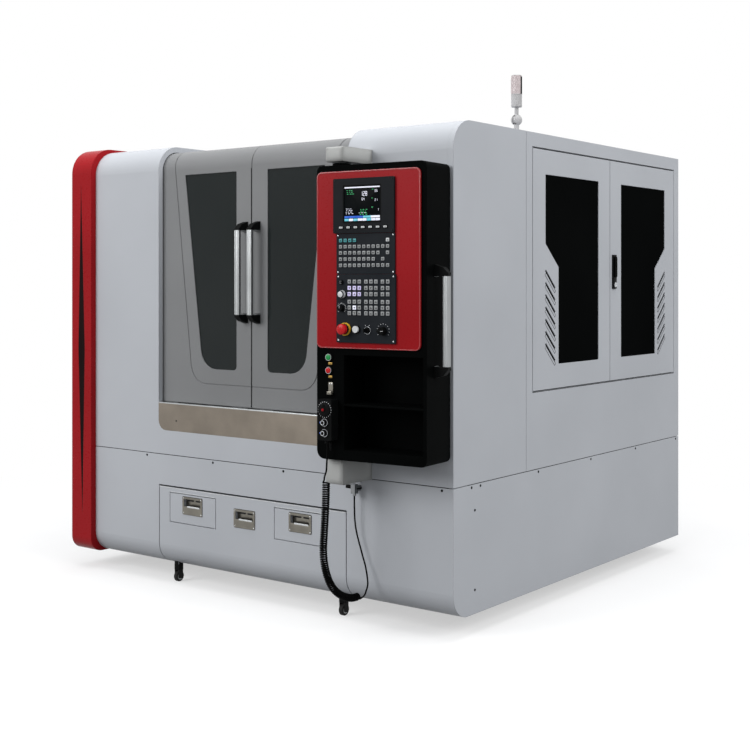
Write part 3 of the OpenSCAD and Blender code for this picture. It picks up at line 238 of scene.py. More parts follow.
def blank_material(name):
    """A material and its node tree, with no nodes yet."""
    made = bpy.data.materials.new(name)
    made.use_nodes = True
    made.node_tree.nodes.clear()
    return made, made.node_tree


def direct_view(tree):
    """One for rays of the camera, of mirrored views and of views through glass, zero for rays that light."""
    rays = add(tree, "LightPath").outputs
    seen = add(tree, "Math", {0: rays["Is Camera Ray"], 1: rays["Is Glossy Ray"]}, operation="MAXIMUM")
    through = {0: seen.outputs[0], 1: rays["Is Transmission Ray"]}
    return add(tree, "Math", through, operation="MAXIMUM").outputs[0]


def finish(name, tones, rough, grain, lift=0.0, patch=300, stretch=(1, 1, 1), soft=0.0, zone=None, **sockets):
    """A surface. Its two tones mix in clouds of patch mm; noise of grain mm, drawn out by stretch, moves the
    roughness between two values and lifts a bump of lift mm; edges catch light over soft mm. A zone is a band
    (axis, middle, half height in metres) with tones, roughness and metalness of its own."""
    made, tree = blank_material(name)
    spot = add(tree, "TexCoord").outputs["Object"]
    cloud = add(tree, "TexNoise", {"Vector": spot, "Scale": 1 / (patch * MM), "Detail": 3.0})
    drawn = add(tree, "Mapping", {"Vector": spot, "Scale": stretch})
    fine = add(tree, "TexNoise", {"Vector": drawn.outputs[0], "Scale": 1 / (grain * MM), "Detail": 2.0})
    tone = add(tree, "ValToRGB", {"Fac": cloud.outputs["Fac"]},
               [(LOW, linear(tones[0])), (HIGH, linear(tones[1]))]).outputs[0]
    gloss = add(tree, "MapRange", {"Value": fine.outputs["Fac"], "From Min": LOW, "From Max": HIGH,
                                   "To Min": rough[0], "To Max": rough[1]}).outputs[0]
    if zone:
        axis, middle, half, inner, inner_rough, metal = zone
        apart = add(tree, "SeparateXYZ", {0: spot}).outputs[axis]
        mask = add(tree, "Math", {0: apart, 1: middle, 2: half}, operation="COMPARE").outputs[0]
        inner_tone = add(tree, "ValToRGB", {"Fac": fine.outputs["Fac"]},
                         [(LOW, linear(inner[0])), (HIGH, linear(inner[1]))])
        tone = add(tree, "Mix", {0: mask, 6: tone, 7: inner_tone.outputs[0]}, data_type="RGBA").outputs[2]
        gloss = add(tree, "MapRange", {"Value": mask, "To Min": rough[1], "To Max": inner_rough}).outputs[0]
        if metal:
            sockets["Metallic"] = mask
    wanted = {"Base Color": tone, "Roughness": gloss, **sockets}
    if lift:
        bump = {"Height": fine.outputs["Fac"], "Strength": 1.0, "Distance": lift * MM}
        if soft:
            bump["Normal"] = add(tree, "Bevel", {"Radius": soft * MM}, samples=4).outputs[0]
        wanted["Normal"] = add(tree, "Bump", bump).outputs[0]
    shader = add(tree, "BsdfPrincipled", wanted)
    add(tree, "OutputMaterial", {"Surface": shader.outputs[0]})
    return made


def glow(name, tones, strength, patch):
    """A lit surface: two tones in clouds of patch mm, given off at the strength, under a satin face."""
    made, tree = blank_material(name)
    spot = add(tree, "TexCoord").outputs["Object"]
    cloud = add(tree, "TexNoise", {"Vector": spot, "Scale": 1 / (patch * MM)})
    tone = add(tree, "ValToRGB", {"Fac": cloud.outputs["Fac"]},
               [(0.35, linear(tones[0])), (0.65, linear(tones[1]))]).outputs[0]
    shader = add(tree, "BsdfPrincipled", {"Base Color": tone, "Roughness": 0.35, "Specular IOR Level": 0.02,
                                          "Emission Color": tone, "Emission Strength": strength})
    add(tree, "OutputMaterial", {"Surface": shader.outputs[0]})
    return made


SPEC = "Specular IOR Level"
# Powder coat on sheet steel: even light grey, satin, a faint orange peel drawn at 7 mm so that it shows
white_coat = finish("powder_coat_light_grey", ("#b1b4b9", "#b7babf"), (0.42, 0.5), 7, 0.03, 500, soft=3,
                    **{SPEC: 0.15})
# The doors' darker coat: flatter sheen, the same peel
grey_coat = finish("powder_coat_mid_grey", ("#7c7d7e", "#818283"), (0.38, 0.46), 7, 0.03, 400, soft=4,
                   **{SPEC: 0.15})
# Red coat: deep colour, smoother and glossier, so its round edges show as light lines
red_coat = finish("powder_coat_red", ("#92161b", "#9b191f"), (0.26, 0.32), 9, 0.02, 350, soft=5,
                  **{SPEC: 0.06})
# A lighter, glossier red for a rim along the face's rounded edge: painted highlight, and it mirrors more of
# the room
red_highlight_rim = finish("powder_coat_red_painted_edge_highlight", ("#9c1d23", "#a82329"), (0.14, 0.2), 9, 0.02, 60, soft=3,
                  **{SPEC: 0.6})
# Black coat: satin, close to no colour of its own
black_coat = finish("powder_coat_black", ("#050606", "#080909"), (0.38, 0.5), 5, 0.03, 200, soft=4,
                    **{SPEC: 0.006})
# Inlay on the red upright: matt, warm black
inlay_coat = finish("powder_coat_inlay", ("#170b0b", "#1b0d0d"), (0.5, 0.6), 6, 0.02, 200, **{SPEC: 0.03})
# Tinted safety glass: dark, smooth, lets a little of the inside through
tinted_glass = finish("safety_glass_tinted", ("#232828", "#2a2e2e"), (0.04, 0.07), 60, 0.0, 600,
                      **{SPEC: 0.11, "Alpha": 0.86})
# The side windows' near black glass
dark_glass = finish("safety_glass_dark", ("#0a0b0b", "#0d0e0e"), (0.05, 0.09), 60, 0.0, 600, **{SPEC: 0.0})
# Brushed stainless: warm metal with long fine lines along the sheet
brushed_steel = finish("stainless_brushed", ("#746d64", "#837b71"), (0.3, 0.45), 3, 0.02, 120,
                       stretch=(0.03, 1, 1), soft=1.5, Metallic=1.0)
# Satin anodised bar between black brackets, for the door handles and the operator box's handle: fine upright
# lines on a bright band, whose middle and half height are in metres
BAR, BRACKET, UPRIGHT_LINES = ("#8e9192", "#9da0a1"), ("#0d0e0e", "#131414"), (1, 1, 0.03)
DOOR_BAR_Z, DOOR_BAR_HALF, GRIP_Z, GRIP_HALF = 1.407, 0.182, 1.221, 0.167
door_bar = finish("aluminium_bar_and_black_ends", BRACKET, (0.35, 0.5), 2, 0.02, 80, stretch=UPRIGHT_LINES,
                  soft=2, zone=(2, DOOR_BAR_Z, DOOR_BAR_HALF, BAR, 0.4, True), **{SPEC: 0.04})
box_bar = finish("aluminium_grip_and_black_ends", BRACKET, (0.35, 0.5), 2, 0.02, 80, stretch=UPRIGHT_LINES,
                 soft=2, zone=(2, GRIP_Z, GRIP_HALF, BAR, 0.4, True), **{SPEC: 0.04})
# A brighter satin aluminium for the strips that paint highlights on the sill and the handle bars
highlight_aluminium = finish("aluminium_painted_highlight", ("#a5a8a9", "#b4b7b8"), (0.32, 0.42), 2, 0.01, 80, stretch=UPRIGHT_LINES,
                  Metallic=1.0)
# The trolley's coat, with black castor forks under its floor
FORK_Z, FORK_HALF, FORK_BLACK = 0.02, 0.06, ("#0c0c0c", "#141414")
trolley_coat = finish("powder_coat_over_black_forks", ("#b1b4b9", "#b7babf"), (0.42, 0.5), 7, 0.03, 500,
                      soft=3, zone=(2, FORK_Z, FORK_HALF, FORK_BLACK, 0.55, False), **{SPEC: 0.15})
# The arms' coat: whiter and warmer, with wide round corners
arm_coat = finish("powder_coat_warm_white", ("#afb0ae", "#b6b7b5"), (0.42, 0.5), 7, 0.03, 500, soft=42,
                  **{SPEC: 0.15})
# Castings: grey machine enamel over a sand-cast skin
cast_iron = finish("cast_iron_enamelled", ("#6d7172", "#787c7d"), (0.45, 0.6), 12, 0.3, 250, soft=4,
                   **{SPEC: 0.3})
feet_iron = finish("cast_iron_dark_feet", ("#17181a", "#202123"), (0.5, 0.65), 6, 0.2, 60, soft=2,
                   **{SPEC: 0.2})
# Ground steel with fine lines across, and chrome plate that mirrors the room
ground_steel = finish("steel_ground", ("#8b8d8e", "#a1a3a4"), (0.25, 0.38), 1.5, 0.01, 60,
                      stretch=(1, 0.1, 1), Metallic=1.0)
chrome = finish("chrome_plated_steel", ("#b9bcbf", "#c6c9cb"), (0.12, 0.2), 12, 0.0, 40, Metallic=1.0)
# Satin stainless of the pulls and the hanger: greyer, without the sill's long lines
satin_steel = finish("stainless_satin", ("#69665f", "#78756d"), (0.32, 0.42), 2, 0.01, 60, Metallic=1.0)
# The plug's zinc body between a black lever and a black sleeve
PLUG_X, PLUG_HALF, ZINC = 0.6086, 0.0115, ("#6f7173", "#838587")
plug_zinc = finish("zinc_plug_and_black_lever", ("#0a0a0a", "#101010"), (0.4, 0.5), 2, 0.02, 30,
                   zone=(0, PLUG_X, PLUG_HALF, ZINC, 0.38, True), **{SPEC: 0.05})
# Brass of the small tags: yellow metal, a little dull
brass = finish("brass_tag", ("#7d6434", "#917742"), (0.32, 0.45), 2, 0.02, 12, Metallic=1.0)
# Moulded plastics: fine spark grain, soft edges
black_abs = finish("abs_black", ("#08090a", "#0c0d0d"), (0.42, 0.52), 2, 0.03, 60, soft=1, **{SPEC: 0.04})
bezel_abs = finish("abs_bezel_charcoal", ("#191b1e", "#1e2023"), (0.4, 0.5), 2, 0.03, 80, soft=1,
                   **{SPEC: 0.04})
panel_abs = finish("membrane_panel_charcoal", ("#1e2125", "#23262a"), (0.42, 0.52), 3, 0.02, 80, soft=1,
                   **{SPEC: 0.04})
red_abs = finish("abs_red", ("#b3131a", "#c01a20"), (0.22, 0.3), 4, 0.02, 20, soft=1.5, **{SPEC: 0.2})
green_abs = finish("abs_green", ("#15803e", "#1c9048"), (0.22, 0.3), 4, 0.02, 20, soft=1, **{SPEC: 0.2})
# White plastic; also laid as pale strips that paint highlights on the edges of the trolley, the drawers and
# the pulls
white_abs_and_highlight = finish("abs_white_and_painted_highlight", ("#c9cbcc", "#d6d8d9"), (0.3, 0.4), 4, 0.02, 20, soft=1, **{SPEC: 0.4})
yellow_abs = finish("abs_yellow", ("#c99a1c", "#d6a726"), (0.35, 0.45), 3, 0.02, 20, **{SPEC: 0.3})
blue_abs = finish("abs_blue", ("#24408f", "#2c4ba3"), (0.3, 0.4), 3, 0.02, 15, **{SPEC: 0.3})
# The lamp: grey moulded body, and a clear ribbed lens with a faint warm tone
lamp_abs = finish("lamp_body_grey", ("#b0afaf", "#b9b8b8"), (0.35, 0.45), 4, 0.02, 40, soft=1.5,
                  **{SPEC: 0.15})
lamp_pink = finish("lamp_lens_acrylic", ("#c9bcbc", "#d6caca"), (0.12, 0.2), 5, 0.02, 12,
                   stretch=(1, 1, 0.02), **{SPEC: 0.3, "Transmission Weight": 0.15, "IOR": 1.49})
# Rubbers: matt, slightly dusty
tyre = finish("rubber_tyre", ("#151515", "#1d1d1d"), (0.6, 0.75), 3, 0.08, 20, **{SPEC: 0.2})
# The black rubber is also laid in and along seams and slots as painted shade
seam_shade_rubber = finish("rubber_seal_painted_seam_shade", ("#070707", "#0b0b0b"), (0.5, 0.62), 3, 0.03, 40, **{SPEC: 0.03})
jacket = finish("cord_jacket", ("#060606", "#0a0a0a"), (0.42, 0.52), 2, 0.02, 30, **{SPEC: 0.02})
# Key caps: pale, mid and teal moulded keys, and printed marks
key_grey = finish("key_cap_grey", ("#87898a", "#949697"), (0.4, 0.5), 2, 0.02, 25, soft=0.8, **{SPEC: 0.3})
key_pale = finish("key_cap_pale", ("#c4c7c8", "#d0d3d4"), (0.4, 0.5), 2, 0.02, 25, soft=0.8, **{SPEC: 0.3})
key_teal = finish("key_cap_teal", ("#3f8f93", "#4b9da0"), (0.4, 0.5), 2, 0.02, 25, soft=0.8, **{SPEC: 0.3})
# Dark print; the same dark is also laid as painted shade in screw drives, the lock's keyway and the pulls'
# pockets and seams
dark_print_and_shade = finish("printed_mark_and_painted_shade_dark", ("#1b1c1d", "#222324"), (0.5, 0.6), 3, 0.0, 20, **{SPEC: 0.2})
print_white = finish("printed_mark_white", ("#c8cacb", "#d4d6d7"), (0.5, 0.6), 3, 0.0, 20, **{SPEC: 0.2})
# Lit surfaces: the display and the lit keys
lit_white = glow("lit_white", ("#d4d6e4", "#e3e4ef"), 0.5, 30)
lit_violet = glow("lit_key_violet", ("#b7afd6", "#cbc4e4"), 0.3, 12)
lit_green = glow("lit_green", ("#3da86a", "#55bd7e"), 0.4, 10)
lit_blue = glow("lit_blue", ("#2f57b8", "#4069c6"), 0.4, 25)
lit_cyan = glow("lit_cyan", ("#59b2c4", "#74c2d0"), 0.4, 15)
lit_dark = glow("display_dark", ("#050708", "#080b0d"), 0.2, 60)

# The finish of each slot in the record, and of the solids that differ from their slot
SLOTS = {"white_paint": white_coat, "grey_paint": grey_coat, "red_paint": red_coat, "black_paint": black_coat,
         "tinted_glass": tinted_glass, "dark_glass": dark_glass, "stainless": brushed_steel,
         "aluminium": door_bar, "cast_iron": cast_iron, "steel": ground_steel, "black_plastic": black_abs,
         "red_plastic": red_abs, "green_plastic": green_abs, "white_plastic": white_abs_and_highlight,
         "clear_plastic": lamp_pink, "rubber": tyre, "cord": jacket, "grey_plastic": lamp_abs}
NODES = {"pendant_handle": box_bar, "taper_insert": inlay_coat, "trolley_tank": trolley_coat,
         "levelling_feet": feet_iron, "screen_unit": bezel_abs, "key_panel": panel_abs,
         "operation_panel": panel_abs, "key_switch": black_abs, "cord_connector": plug_zinc,
         "hand_axis_knob": black_abs, "hand_rate_knob": black_abs, "pendant_arms": arm_coat,
         "lamp_mast": lamp_abs}
for name, node in nodes.items():
    slot = node.data.materials[0].name.split(".")[0]
    coat = NODES.get(name, SLOTS[slot])
    for index in range(len(node.data.materials)):
        node.data.materials[index] = coat

# Coiled cord of the hand unit, on the part's own route: mm along from the pivot, back from the front panels
# and up from the underside
LEAD_TOP = [[21, -253, 670.5], [21, -253, 640], [16, -252, 580]]
COIL = [[14, -252, 516], [11, -252, 430], [4, -252, 326], [0, -252, 253], [5, -245, 184], [15, -225, 124],
        [27, -190, 84], [37, -130, 58]]
LEAD_BOTTOM = [[45, -75, 60], [53, -58, 70], [54, -44, 98], [36, -32, 154], [13, -27, 208], [-14, -27, 287],
               [-21, -30, 337], [-22, -32, 389], [-22, -32, 436.5]]
# Diameter, radius of the wind, advance per turn, and points on each span of the route
CORD_D, COIL_R, PITCH, PER = 6.6, 12.2, 8.6, 40
# How far the wind starts before the coil's first point, and the lengths over which it winds up and stands off
EARLY, WIND_IN, STAND_IN = 20, 26, 34
# Points as it winds up, points per turn, the leads' spacing and how far they stop short
WIND_POINTS, PER_TURN, LEAD_STEP, LEAD_CLEAR = 20, 16, 4.0, 2


def coiled_path():
    """The cord's middle line. Along the route it stands off by the coil's radius, eased in over a short way;
    the wind starts as a line whose slope to the axis grows evenly along its length, keeps to the pitch, and
    ends as it began. Returns the points and the direction that each stands off in."""
    route = smooth_line(LEAD_TOP + COIL + LEAD_BOTTOM, PER)
    arc = np.concatenate([[0], np.cumsum(np.linalg.norm(np.diff(route, axis=0), axis=1))])
    first, last = arc[PER * len(LEAD_TOP)] - EARLY, arc[PER * len(LEAD_TOP + COIL)]
    slope = math.atan(2 * math.pi * COIL_R / PITCH)
    ease = np.linspace(0, slope, WIND_POINTS)
    ahead = WIND_IN * np.sin(ease) / slope
    wound = WIND_IN * (1 - np.cos(ease)) / (slope * COIL_R)
    span = last - first - 2 * ahead[-1]
    turns = round((span / PITCH) + wound[-1] / math.pi) - wound[-1] / math.pi
    count = int(turns * PER_TURN)
    step = np.arange(1, count) / count
    along = np.concatenate([ahead, ahead[-1] + span * step, last - first - ahead[::-1]]) + first
    angle = np.concatenate([wound, wound[-1] + 2 * math.pi * turns * step,
                            2 * math.pi * turns + 2 * wound[-1] - wound[::-1]])
    before = np.arange(0, first - LEAD_CLEAR, LEAD_STEP)
    after = np.append(np.arange(last + LEAD_STEP, arc[-1] - LEAD_CLEAR, LEAD_STEP), arc[-1])
    along = np.concatenate([before, along, after])
    angle = np.concatenate([np.zeros(len(before)), angle, np.full(len(after), angle[-1])])
    middle = np.stack([np.interp(along, arc, route[:, k]) for k in range(3)], axis=1)
    heading = unit(np.stack([np.interp(along, arc, np.gradient(route[:, k], arc)) for k in range(3)], axis=1))
    flat = unit(np.cross(heading, X))
    tall = np.cross(heading, flat)
    away = np.cos(angle)[:, None] * flat + np.sin(angle)[:, None] * tall
    near = np.clip(np.minimum(along - first + STAND_IN, last + STAND_IN - along) / STAND_IN, 0, 1)
    stand = COIL_R * near ** 2 * (3 - 2 * near)
    place = middle + stand[:, None] * away
    return cab(PIVOT_X, 0, 0) + place * MM, away


cord_line, cord_side = coiled_path()
cord = solid("hand_unit_cord", [(tube(cord_line, CORD_D / 2 * MM, cord_side), 0)], [jacket])
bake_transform(cord)
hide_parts("cord_leads", "cord_coil")


# Sheet metal fittings

def screw(axes, at, r=5.4, height=1.8):
    """A pan-head screw: a low dome turned about its axis, with a dark disc on top that paints the shade of
    its drive.
    """
    profile = [(0, -0.3), (r, -0.3), (r, height * 0.3), (r * 0.8, height * 0.8), (r * 0.5, height),
               (0, height)]
    drive = disc(axes, at + axes[2] * (height * MM), r * 0.38, 0.15, 0.05, 8, 0.1)
    return [(lathe(axes, at, profile, 16), 0), (drive, 1)]


def seam_shade_gasket(axes, at, size):
    """A rubber strip in a seam, a thin plate rooted 3 mm deep: painted shade that darkens the seam."""
    return plate(axes, at, size, 1, 0.5, 0.2, 4, 3)


# Outer faces of the cabinet, the middle of its front opening, and the screws' places
WALL_X, REAR_Y, TOP_Z, FRONT_MID = 2187, 2055, 1910, 1124
SEAM_SCREW_X, SEAM_SCREW_Y = (497, 919, 1331, 1743, 2135), (127, 190, 640, 1108, 1560, 2022)
REAR_SCREW_X, LEFT_SCREW_Y = (120, 640, 1100, 1560, 2060), (180, 760, 1340, 1900)
SEAM_SCREW_Z, FOOT_SCREW_Z = 492, 60
CORNER_SCREW_Y, CORNER_SCREW_Z = 150, (402, 93)
SILL_SCREW_X, SILL_SCREW_Z = (688, 1560), 660
ROOF_BOLT_X, ROOF_BOLT_Y = np.linspace(640, 1610, 9), 492
heads = [screw(FRONT, cab(x, 0, SEAM_SCREW_Z)) for x in SEAM_SCREW_X]
heads += [screw(SIDE, cab(WALL_X, y, SEAM_SCREW_Z)) for y in SEAM_SCREW_Y]
heads += [screw(SIDE, cab(WALL_X, CORNER_SCREW_Y, z)) for z in CORNER_SCREW_Z]
heads += [screw(REAR, cab(x, REAR_Y, z)) for x in REAR_SCREW_X for z in (FOOT_SCREW_Z, SEAM_SCREW_Z)]
heads += [screw(LEFT, cab(0, y, z)) for y in LEFT_SCREW_Y for z in (FOOT_SCREW_Z, SEAM_SCREW_Z)]
piece("cabinet_screws", sum(heads, []), [black_abs, dark_print_and_shade], "cabinet")
heads = [screw(FRONT, cab(x, 0, SILL_SCREW_Z), 4, 1.6) for x in SILL_SCREW_X]
piece("sill_screws", sum(heads, []), [dark_print_and_shade, black_abs], "cabinet")
heads = [screw(ROOF, cab(x, ROOF_BOLT_Y, TOP_Z), 9, 7) for x in ROOF_BOLT_X]
piece("roof_bolts", sum(heads, []), [chrome, dark_print_and_shade], "cabinet")

# Black rubber strips at the bottom of the open seams: painted shade that draws the dark lines between the
# panels
SEAM_Z, SEAM_DEEP = 503.5, 4
strips = [seam_shade_gasket(FRONT, cab(1151, SEAM_DEEP, SEAM_Z), (2020, 3.4)),
          seam_shade_gasket(SIDE, cab(WALL_X - SEAM_DEEP, 1070, SEAM_Z), (1930, 3.4))]
piece("seam_shade_gaskets", strips, [seam_shade_rubber], "cabinet")
TROLLEY_TOP, TROLLEY_SIDES, DRAWER_X = 360.6, (578.4, 1669.6), (792, 1424)
strips = [seam_shade_gasket(FRONT, cab(FRONT_MID, SEAM_DEEP, TROLLEY_TOP), (1090, 2.6))]
strips += [seam_shade_gasket(FRONT, cab(x, SEAM_DEEP, 230), (2.4, 250)) for x in TROLLEY_SIDES]
# A black strip on the skirt's face over the trolley's gap: painted shade that widens the seam's line
strips += [plate(FRONT, cab(FRONT_MID, 0, 363.8), (1094, 3), 0.5, 1, 0.2, 8)]
piece("trolley_seam_shade", strips, [seam_shade_rubber], "cabinet")
# Pale strips along the trolley's and the drawers' top edges: painted highlights of their rounded edges
edges = [plate(FRONT, cab(FRONT_MID, 0, 355.6), (1080, 3.4), 0.5, 1.2, 0.3, 8)]
edges += [plate(FRONT, cab(x, 0, 338.4), (276, 2.4), 0.4, 1, 0.2, 8) for x in DRAWER_X]
piece("trolley_edge_highlight", edges, [white_abs_and_highlight], "trolley")

# Bright metal strips on the sill's top and front edge: painted highlight, laid over the shade on the sill's
# top
SILL_Z, SILL_W = 739, 1096
edges = [plate(ROOF, cab(FRONT_MID, 11.4, SILL_Z), (SILL_W, 22), 0.5, 1, 0.2, 8),
         plate(FRONT, cab(FRONT_MID, 0, SILL_Z - 2), (SILL_W, 4.4), 0.6, 1.5, 0.3, 8)]
piece("sill_edge_highlight", edges, [highlight_aluminium], "cabinet")
# A black rubber strip beside the gap where the doors meet: painted shade
strips = [plate(FRONT, cab(1120.6, 30, 1262), (3.6, 1032), 0.5, 1, 0.2, 8)]
piece("door_seam_shade", strips, [seam_shade_rubber], "left_door")

# Side doors: black rubber over and under them and black frames round the louvre slots, painted shade that
# darkens their edges and slots
SIDE_MID, SIDE_W, SIDE_SHADE_Z = 1295, 1410, (1849.6, 826.4)
strips = [plate(SIDE, cab(WALL_X, SIDE_MID, z), (SIDE_W, 2.6), 0.4, 1, 0.2, 8) for z in SIDE_SHADE_Z]
piece("side_door_seam_shade", strips, [seam_shade_rubber], "cabinet")
SLOT_Y, SLOT_Z, SLOT_STEP, SLOT_RUN, SLOT_DROP, SLOT_COUNT, SHADE_LINER = 700, 1320, 51.7, 82, 76, 7, (115, 13.6)
for name, turn, body in (("front_slot_shade_liners", 1, "front_side_door"),
                         ("rear_slot_shade_liners", -1, "rear_side_door")):
    along = unit(Y * turn * SLOT_RUN - Z * SLOT_DROP)
    lie = (along, np.cross(X, along), X)
    mid_y, mid_z = SIDE_MID + turn * (SLOT_Y + SLOT_RUN / 2 - SIDE_MID), SLOT_Z - SLOT_DROP / 2
    shade_liners = [rim(lie, cab(WALL_X, mid_y, mid_z - SLOT_STEP * k), SHADE_LINER, 2, 0.5, 2, 16)
              for k in range(SLOT_COUNT)]
    piece(name, shade_liners, [seam_shade_rubber], body)

# Stainless flush pulls: frame, closed lower half, lined pocket and four screws; a pale strip paints a
# highlight and dark plates paint shade
PULL_W, PULL_H, PULL_DEEP = 122, 78, 16
PULL_LOW, PULL_HIGH, PULL_SCREW_X, PULL_SCREW_Z = 20, 13.5, 55, 33


def flush_pull(name, x, z, body):
    """A cup pull whose middle is at x, z: a frame round the pocket, the flat lower half, a lip, and a liner
    at the pocket's back; a pale strip paints the lip's highlight, and two dark plates at the pocket's top and
    a dark ring round the frame paint shade."""
    at = cab(x, -2, z)
    low, high = at - Z * PULL_LOW * MM, at + Z * PULL_HIGH * MM
    parts = [(rim(FRONT, at, (PULL_W + 0.8, PULL_H + 0.8), 8.6, 0.8, 5), 0),
             (plate(FRONT, low, (PULL_W - 16, 30), 0.7, 1.5, 0.3), 0),
             (rim(FRONT, high, (PULL_W - 15, 37), 2.5, 0.9, 3), 0),
             (plate(FRONT, high + Y * (PULL_DEEP + 1) * MM, (PULL_W - 14, 58), 0.6, 2, 0.3), 0),
             # A pale strip across the lip: painted highlight
             (plate(FRONT, at - (Z * 4 - X * 8) * MM, (PULL_W - 44, 7), 2.4, 2.4, 1.2), 3)]
    # Two dark plates at the pocket's top: painted shade
    for side in (-1, 1):
        spot = high + (Y * (PULL_DEEP + 0.3) + Z * 9 + X * side * 24) * MM
        parts.append((plate(FRONT, spot, (38, 9), 0.5, 4, 0.1), 2))
    # A dark ring round the frame: painted shade in its seam
    parts.append((rim(FRONT, at + Y * 1.8 * MM, (PULL_W + 4, PULL_H + 4), 2.4, 0.5, 6), 2))
    corners = [screw(FRONT, at + (sx * PULL_SCREW_X * X + sz * PULL_SCREW_Z * Z - 0.7 * Y) * MM, 2.6, 0.9)
               for sx in (-1, 1) for sz in (-1, 1)]
    parts += [(grid, 1 + kind) for grid, kind in sum(corners, [])]
    return piece(name, parts, [satin_steel, chrome, dark_print_and_shade, white_abs_and_highlight], body)


flush_pull("trolley_pull_cup", 1108, 265, "trolley")
flush_pull("left_drawer_pull_cup", DRAWER_X[0], 285, "left_drawer")
flush_pull("right_drawer_pull_cup", DRAWER_X[1], 285, "right_drawer")

# Side doors: lock plate and key cylinder, with a dark bar on the cylinder that paints the shade of its keyway
LOCK_Y, LOCK_MID_Z, LOCK_KEY_Z = 1333, 1333, 1273
barrel = [(0, 6), (11.6, 6), (11.6, 11), (10.6, 12.4), (8, 12.4), (7.6, 12.1), (0, 12.1)]
lock = [(plate(SIDE, cab(WALL_X, LOCK_Y, LOCK_MID_Z), (37, 157), 7.15, 4, 0.8, 24), 0),
        (lathe(SIDE, cab(WALL_X, LOCK_Y, LOCK_KEY_Z), barrel), 1),
        (plate(SIDE, cab(WALL_X + 12.1, LOCK_Y, LOCK_KEY_Z), (2, 9), 0.3, 0.6, 0.1, 8), 2)]
piece("side_lock_plate", lock, [black_abs, chrome, dark_print_and_shade], "rear_side_door")

# Signal lamp: two rings round the body, a cap, a dark strip down the lens's +X side and the ribs of the lens
LAMP_X, LAMP_Y, LENS_Z, CAP_Z, RING_Z, DARK_STRIP_DEG = 2087, 630, 2117, 2157, (2076, 2032), 2
bands = [(rim(ROOF, cab(LAMP_X, LAMP_Y, z), (47, 47), 1.6, 1.6, 23.5, 40, 0), 1) for z in RING_Z]
cap = [(0, -0.2), (21, -0.2), (22, 1.2), (18, 3.6), (8, 4.6), (0, 4.8)]
bands.append((lathe(ROOF, cab(LAMP_X, LAMP_Y, CAP_Z), cap, 40), 1))
spin = np.radians(DARK_STRIP_DEG)
DARK_STRIP_AXES = (np.array([-np.sin(spin), np.cos(spin), 0]), Z, np.array([np.cos(spin), np.sin(spin), 0]))
bands.append((plate(DARK_STRIP_AXES, cab(LAMP_X, LAMP_Y, LENS_Z) + DARK_STRIP_AXES[2] * 22.4 * MM, (11, 74), 1.4, 1, 0.4, 8), 0))
piece("lamp_trim", bands, [black_abs, lamp_abs], "lamp")
ribs = []
for turn in np.radians(np.arange(0, 360, 15)):
    ray = X * np.cos(turn) + Y * np.sin(turn)
    foot = cab(LAMP_X, LAMP_Y, LENS_Z) + ray * 22.6 * MM
    ribs.append(plate((np.cross(Z, ray), Z, ray), foot, (2.4, 72), 0.9, 1, 0.4, 8))
piece("lamp_lens_ribs", ribs, [lamp_pink], "lamp")

# Castors: housings round the fork tops, and hub plates on both faces of each front wheel
UNDER = (X, -Y, -Z)
CASTOR_X, CASTOR_Y, AXLE_Z = (641, 1607), (62, 780), -56
housings = [plate(UNDER, cab(x, y, 18), (30.2, 30), 45, 5, 2.5, 20) for x in CASTOR_X for y in CASTOR_Y]
piece("castor_housings", housings, [black_abs], "trolley")
hub = [(0, -0.2), (15, -0.2), (15, 0.3), (13, 0.9), (5, 0.9), (0, 0.9)]
for name, x, body in (("left_hub", CASTOR_X[0], "front_left_wheel"),
                      ("right_hub", CASTOR_X[1], "front_right_wheel")):
    hubs = []
    for axes, face in ((SIDE, 10), (LEFT, -10)):
        hubs.append((lathe(axes, cab(x + face, CASTOR_Y[0], AXLE_Z), hub), 0))
    piece(name, hubs, [ground_steel], body)

# Raised strips of brighter aluminium along the bars of the door handles and of the operator box's handle:
# painted highlights of the rounded bars
for name, x, body in (("left_bar_highlight_ribs", 1088, "left_door"), ("right_bar_highlight_ribs", 1160, "right_door")):
    ribs = [plate(FRONT, cab(x + shift, -28, 1327), (width, 362), 0.8, 1.4, 0.5, 8)
            for shift, width in ((-10, 4), (0, 9), (10, 4))]
    piece(name, ribs, [highlight_aluminium], body)

ribs = [plate(PANEL, pend(x, 1141, -56), (width, 334), 0.9, 1.2, 0.4, 8)
        for x, width in ((527, 3), (533, 7), (541, 3))]
piece("grip_bar_highlight_ribs", ribs, [highlight_aluminium], "pendant")

# Operator box: display. How far its faces stand out, and the lit area
FACE_OUT, SCREEN_OUT, LCD_OUT, KEYS_OUT, OPER_OUT = 8, 18, 15, 14, 16
LCD_X, LCD_Z, LCD_W, LCD_H = 136, 1514, 162, 135
# Strokes of a seven-stroke numeral: the middle of each in numeral widths and heights, and if it lies flat
STROKES = [(0.5, 1.0, 1), (1.0, 0.75, 0), (1.0, 0.25, 0), (0.5, 0.0, 1), (0.0, 0.25, 0), (0.0, 0.75, 0),
           (0.5, 0.5, 1)]
LIT = {"0": "012345", "1": "12", "2": "01346", "4": "1256", "5": "02356", "6": "023456", "8": "0123456"}


def lcd_bar(x, z, width, height, out=0.5):
    """A lit mark on the display, placed by its lower left corner in mm."""
    spot = pend(LCD_X + x + width / 2, LCD_Z + z + height / 2, LCD_OUT + out)
    return plate(PANEL, spot, (width, height), 0.2, 0.2, 0.05, 4, 0.1)


def numerals(text, x, z, width, height, thick):
    """A row of seven-stroke numerals: the lit strokes of each, side by side."""
    marks = []
    for place, figure in enumerate(text):
        for stroke in LIT[figure]:
            u, v, level = STROKES[int(stroke)]
            w, h = (width, thick) if level else (thick, height / 2)
            start = x + place * (width + 2.2 * thick) + u * width - w / 2
            marks.append(lcd_bar(start, z + v * height - h / 2, w, h))
    return marks


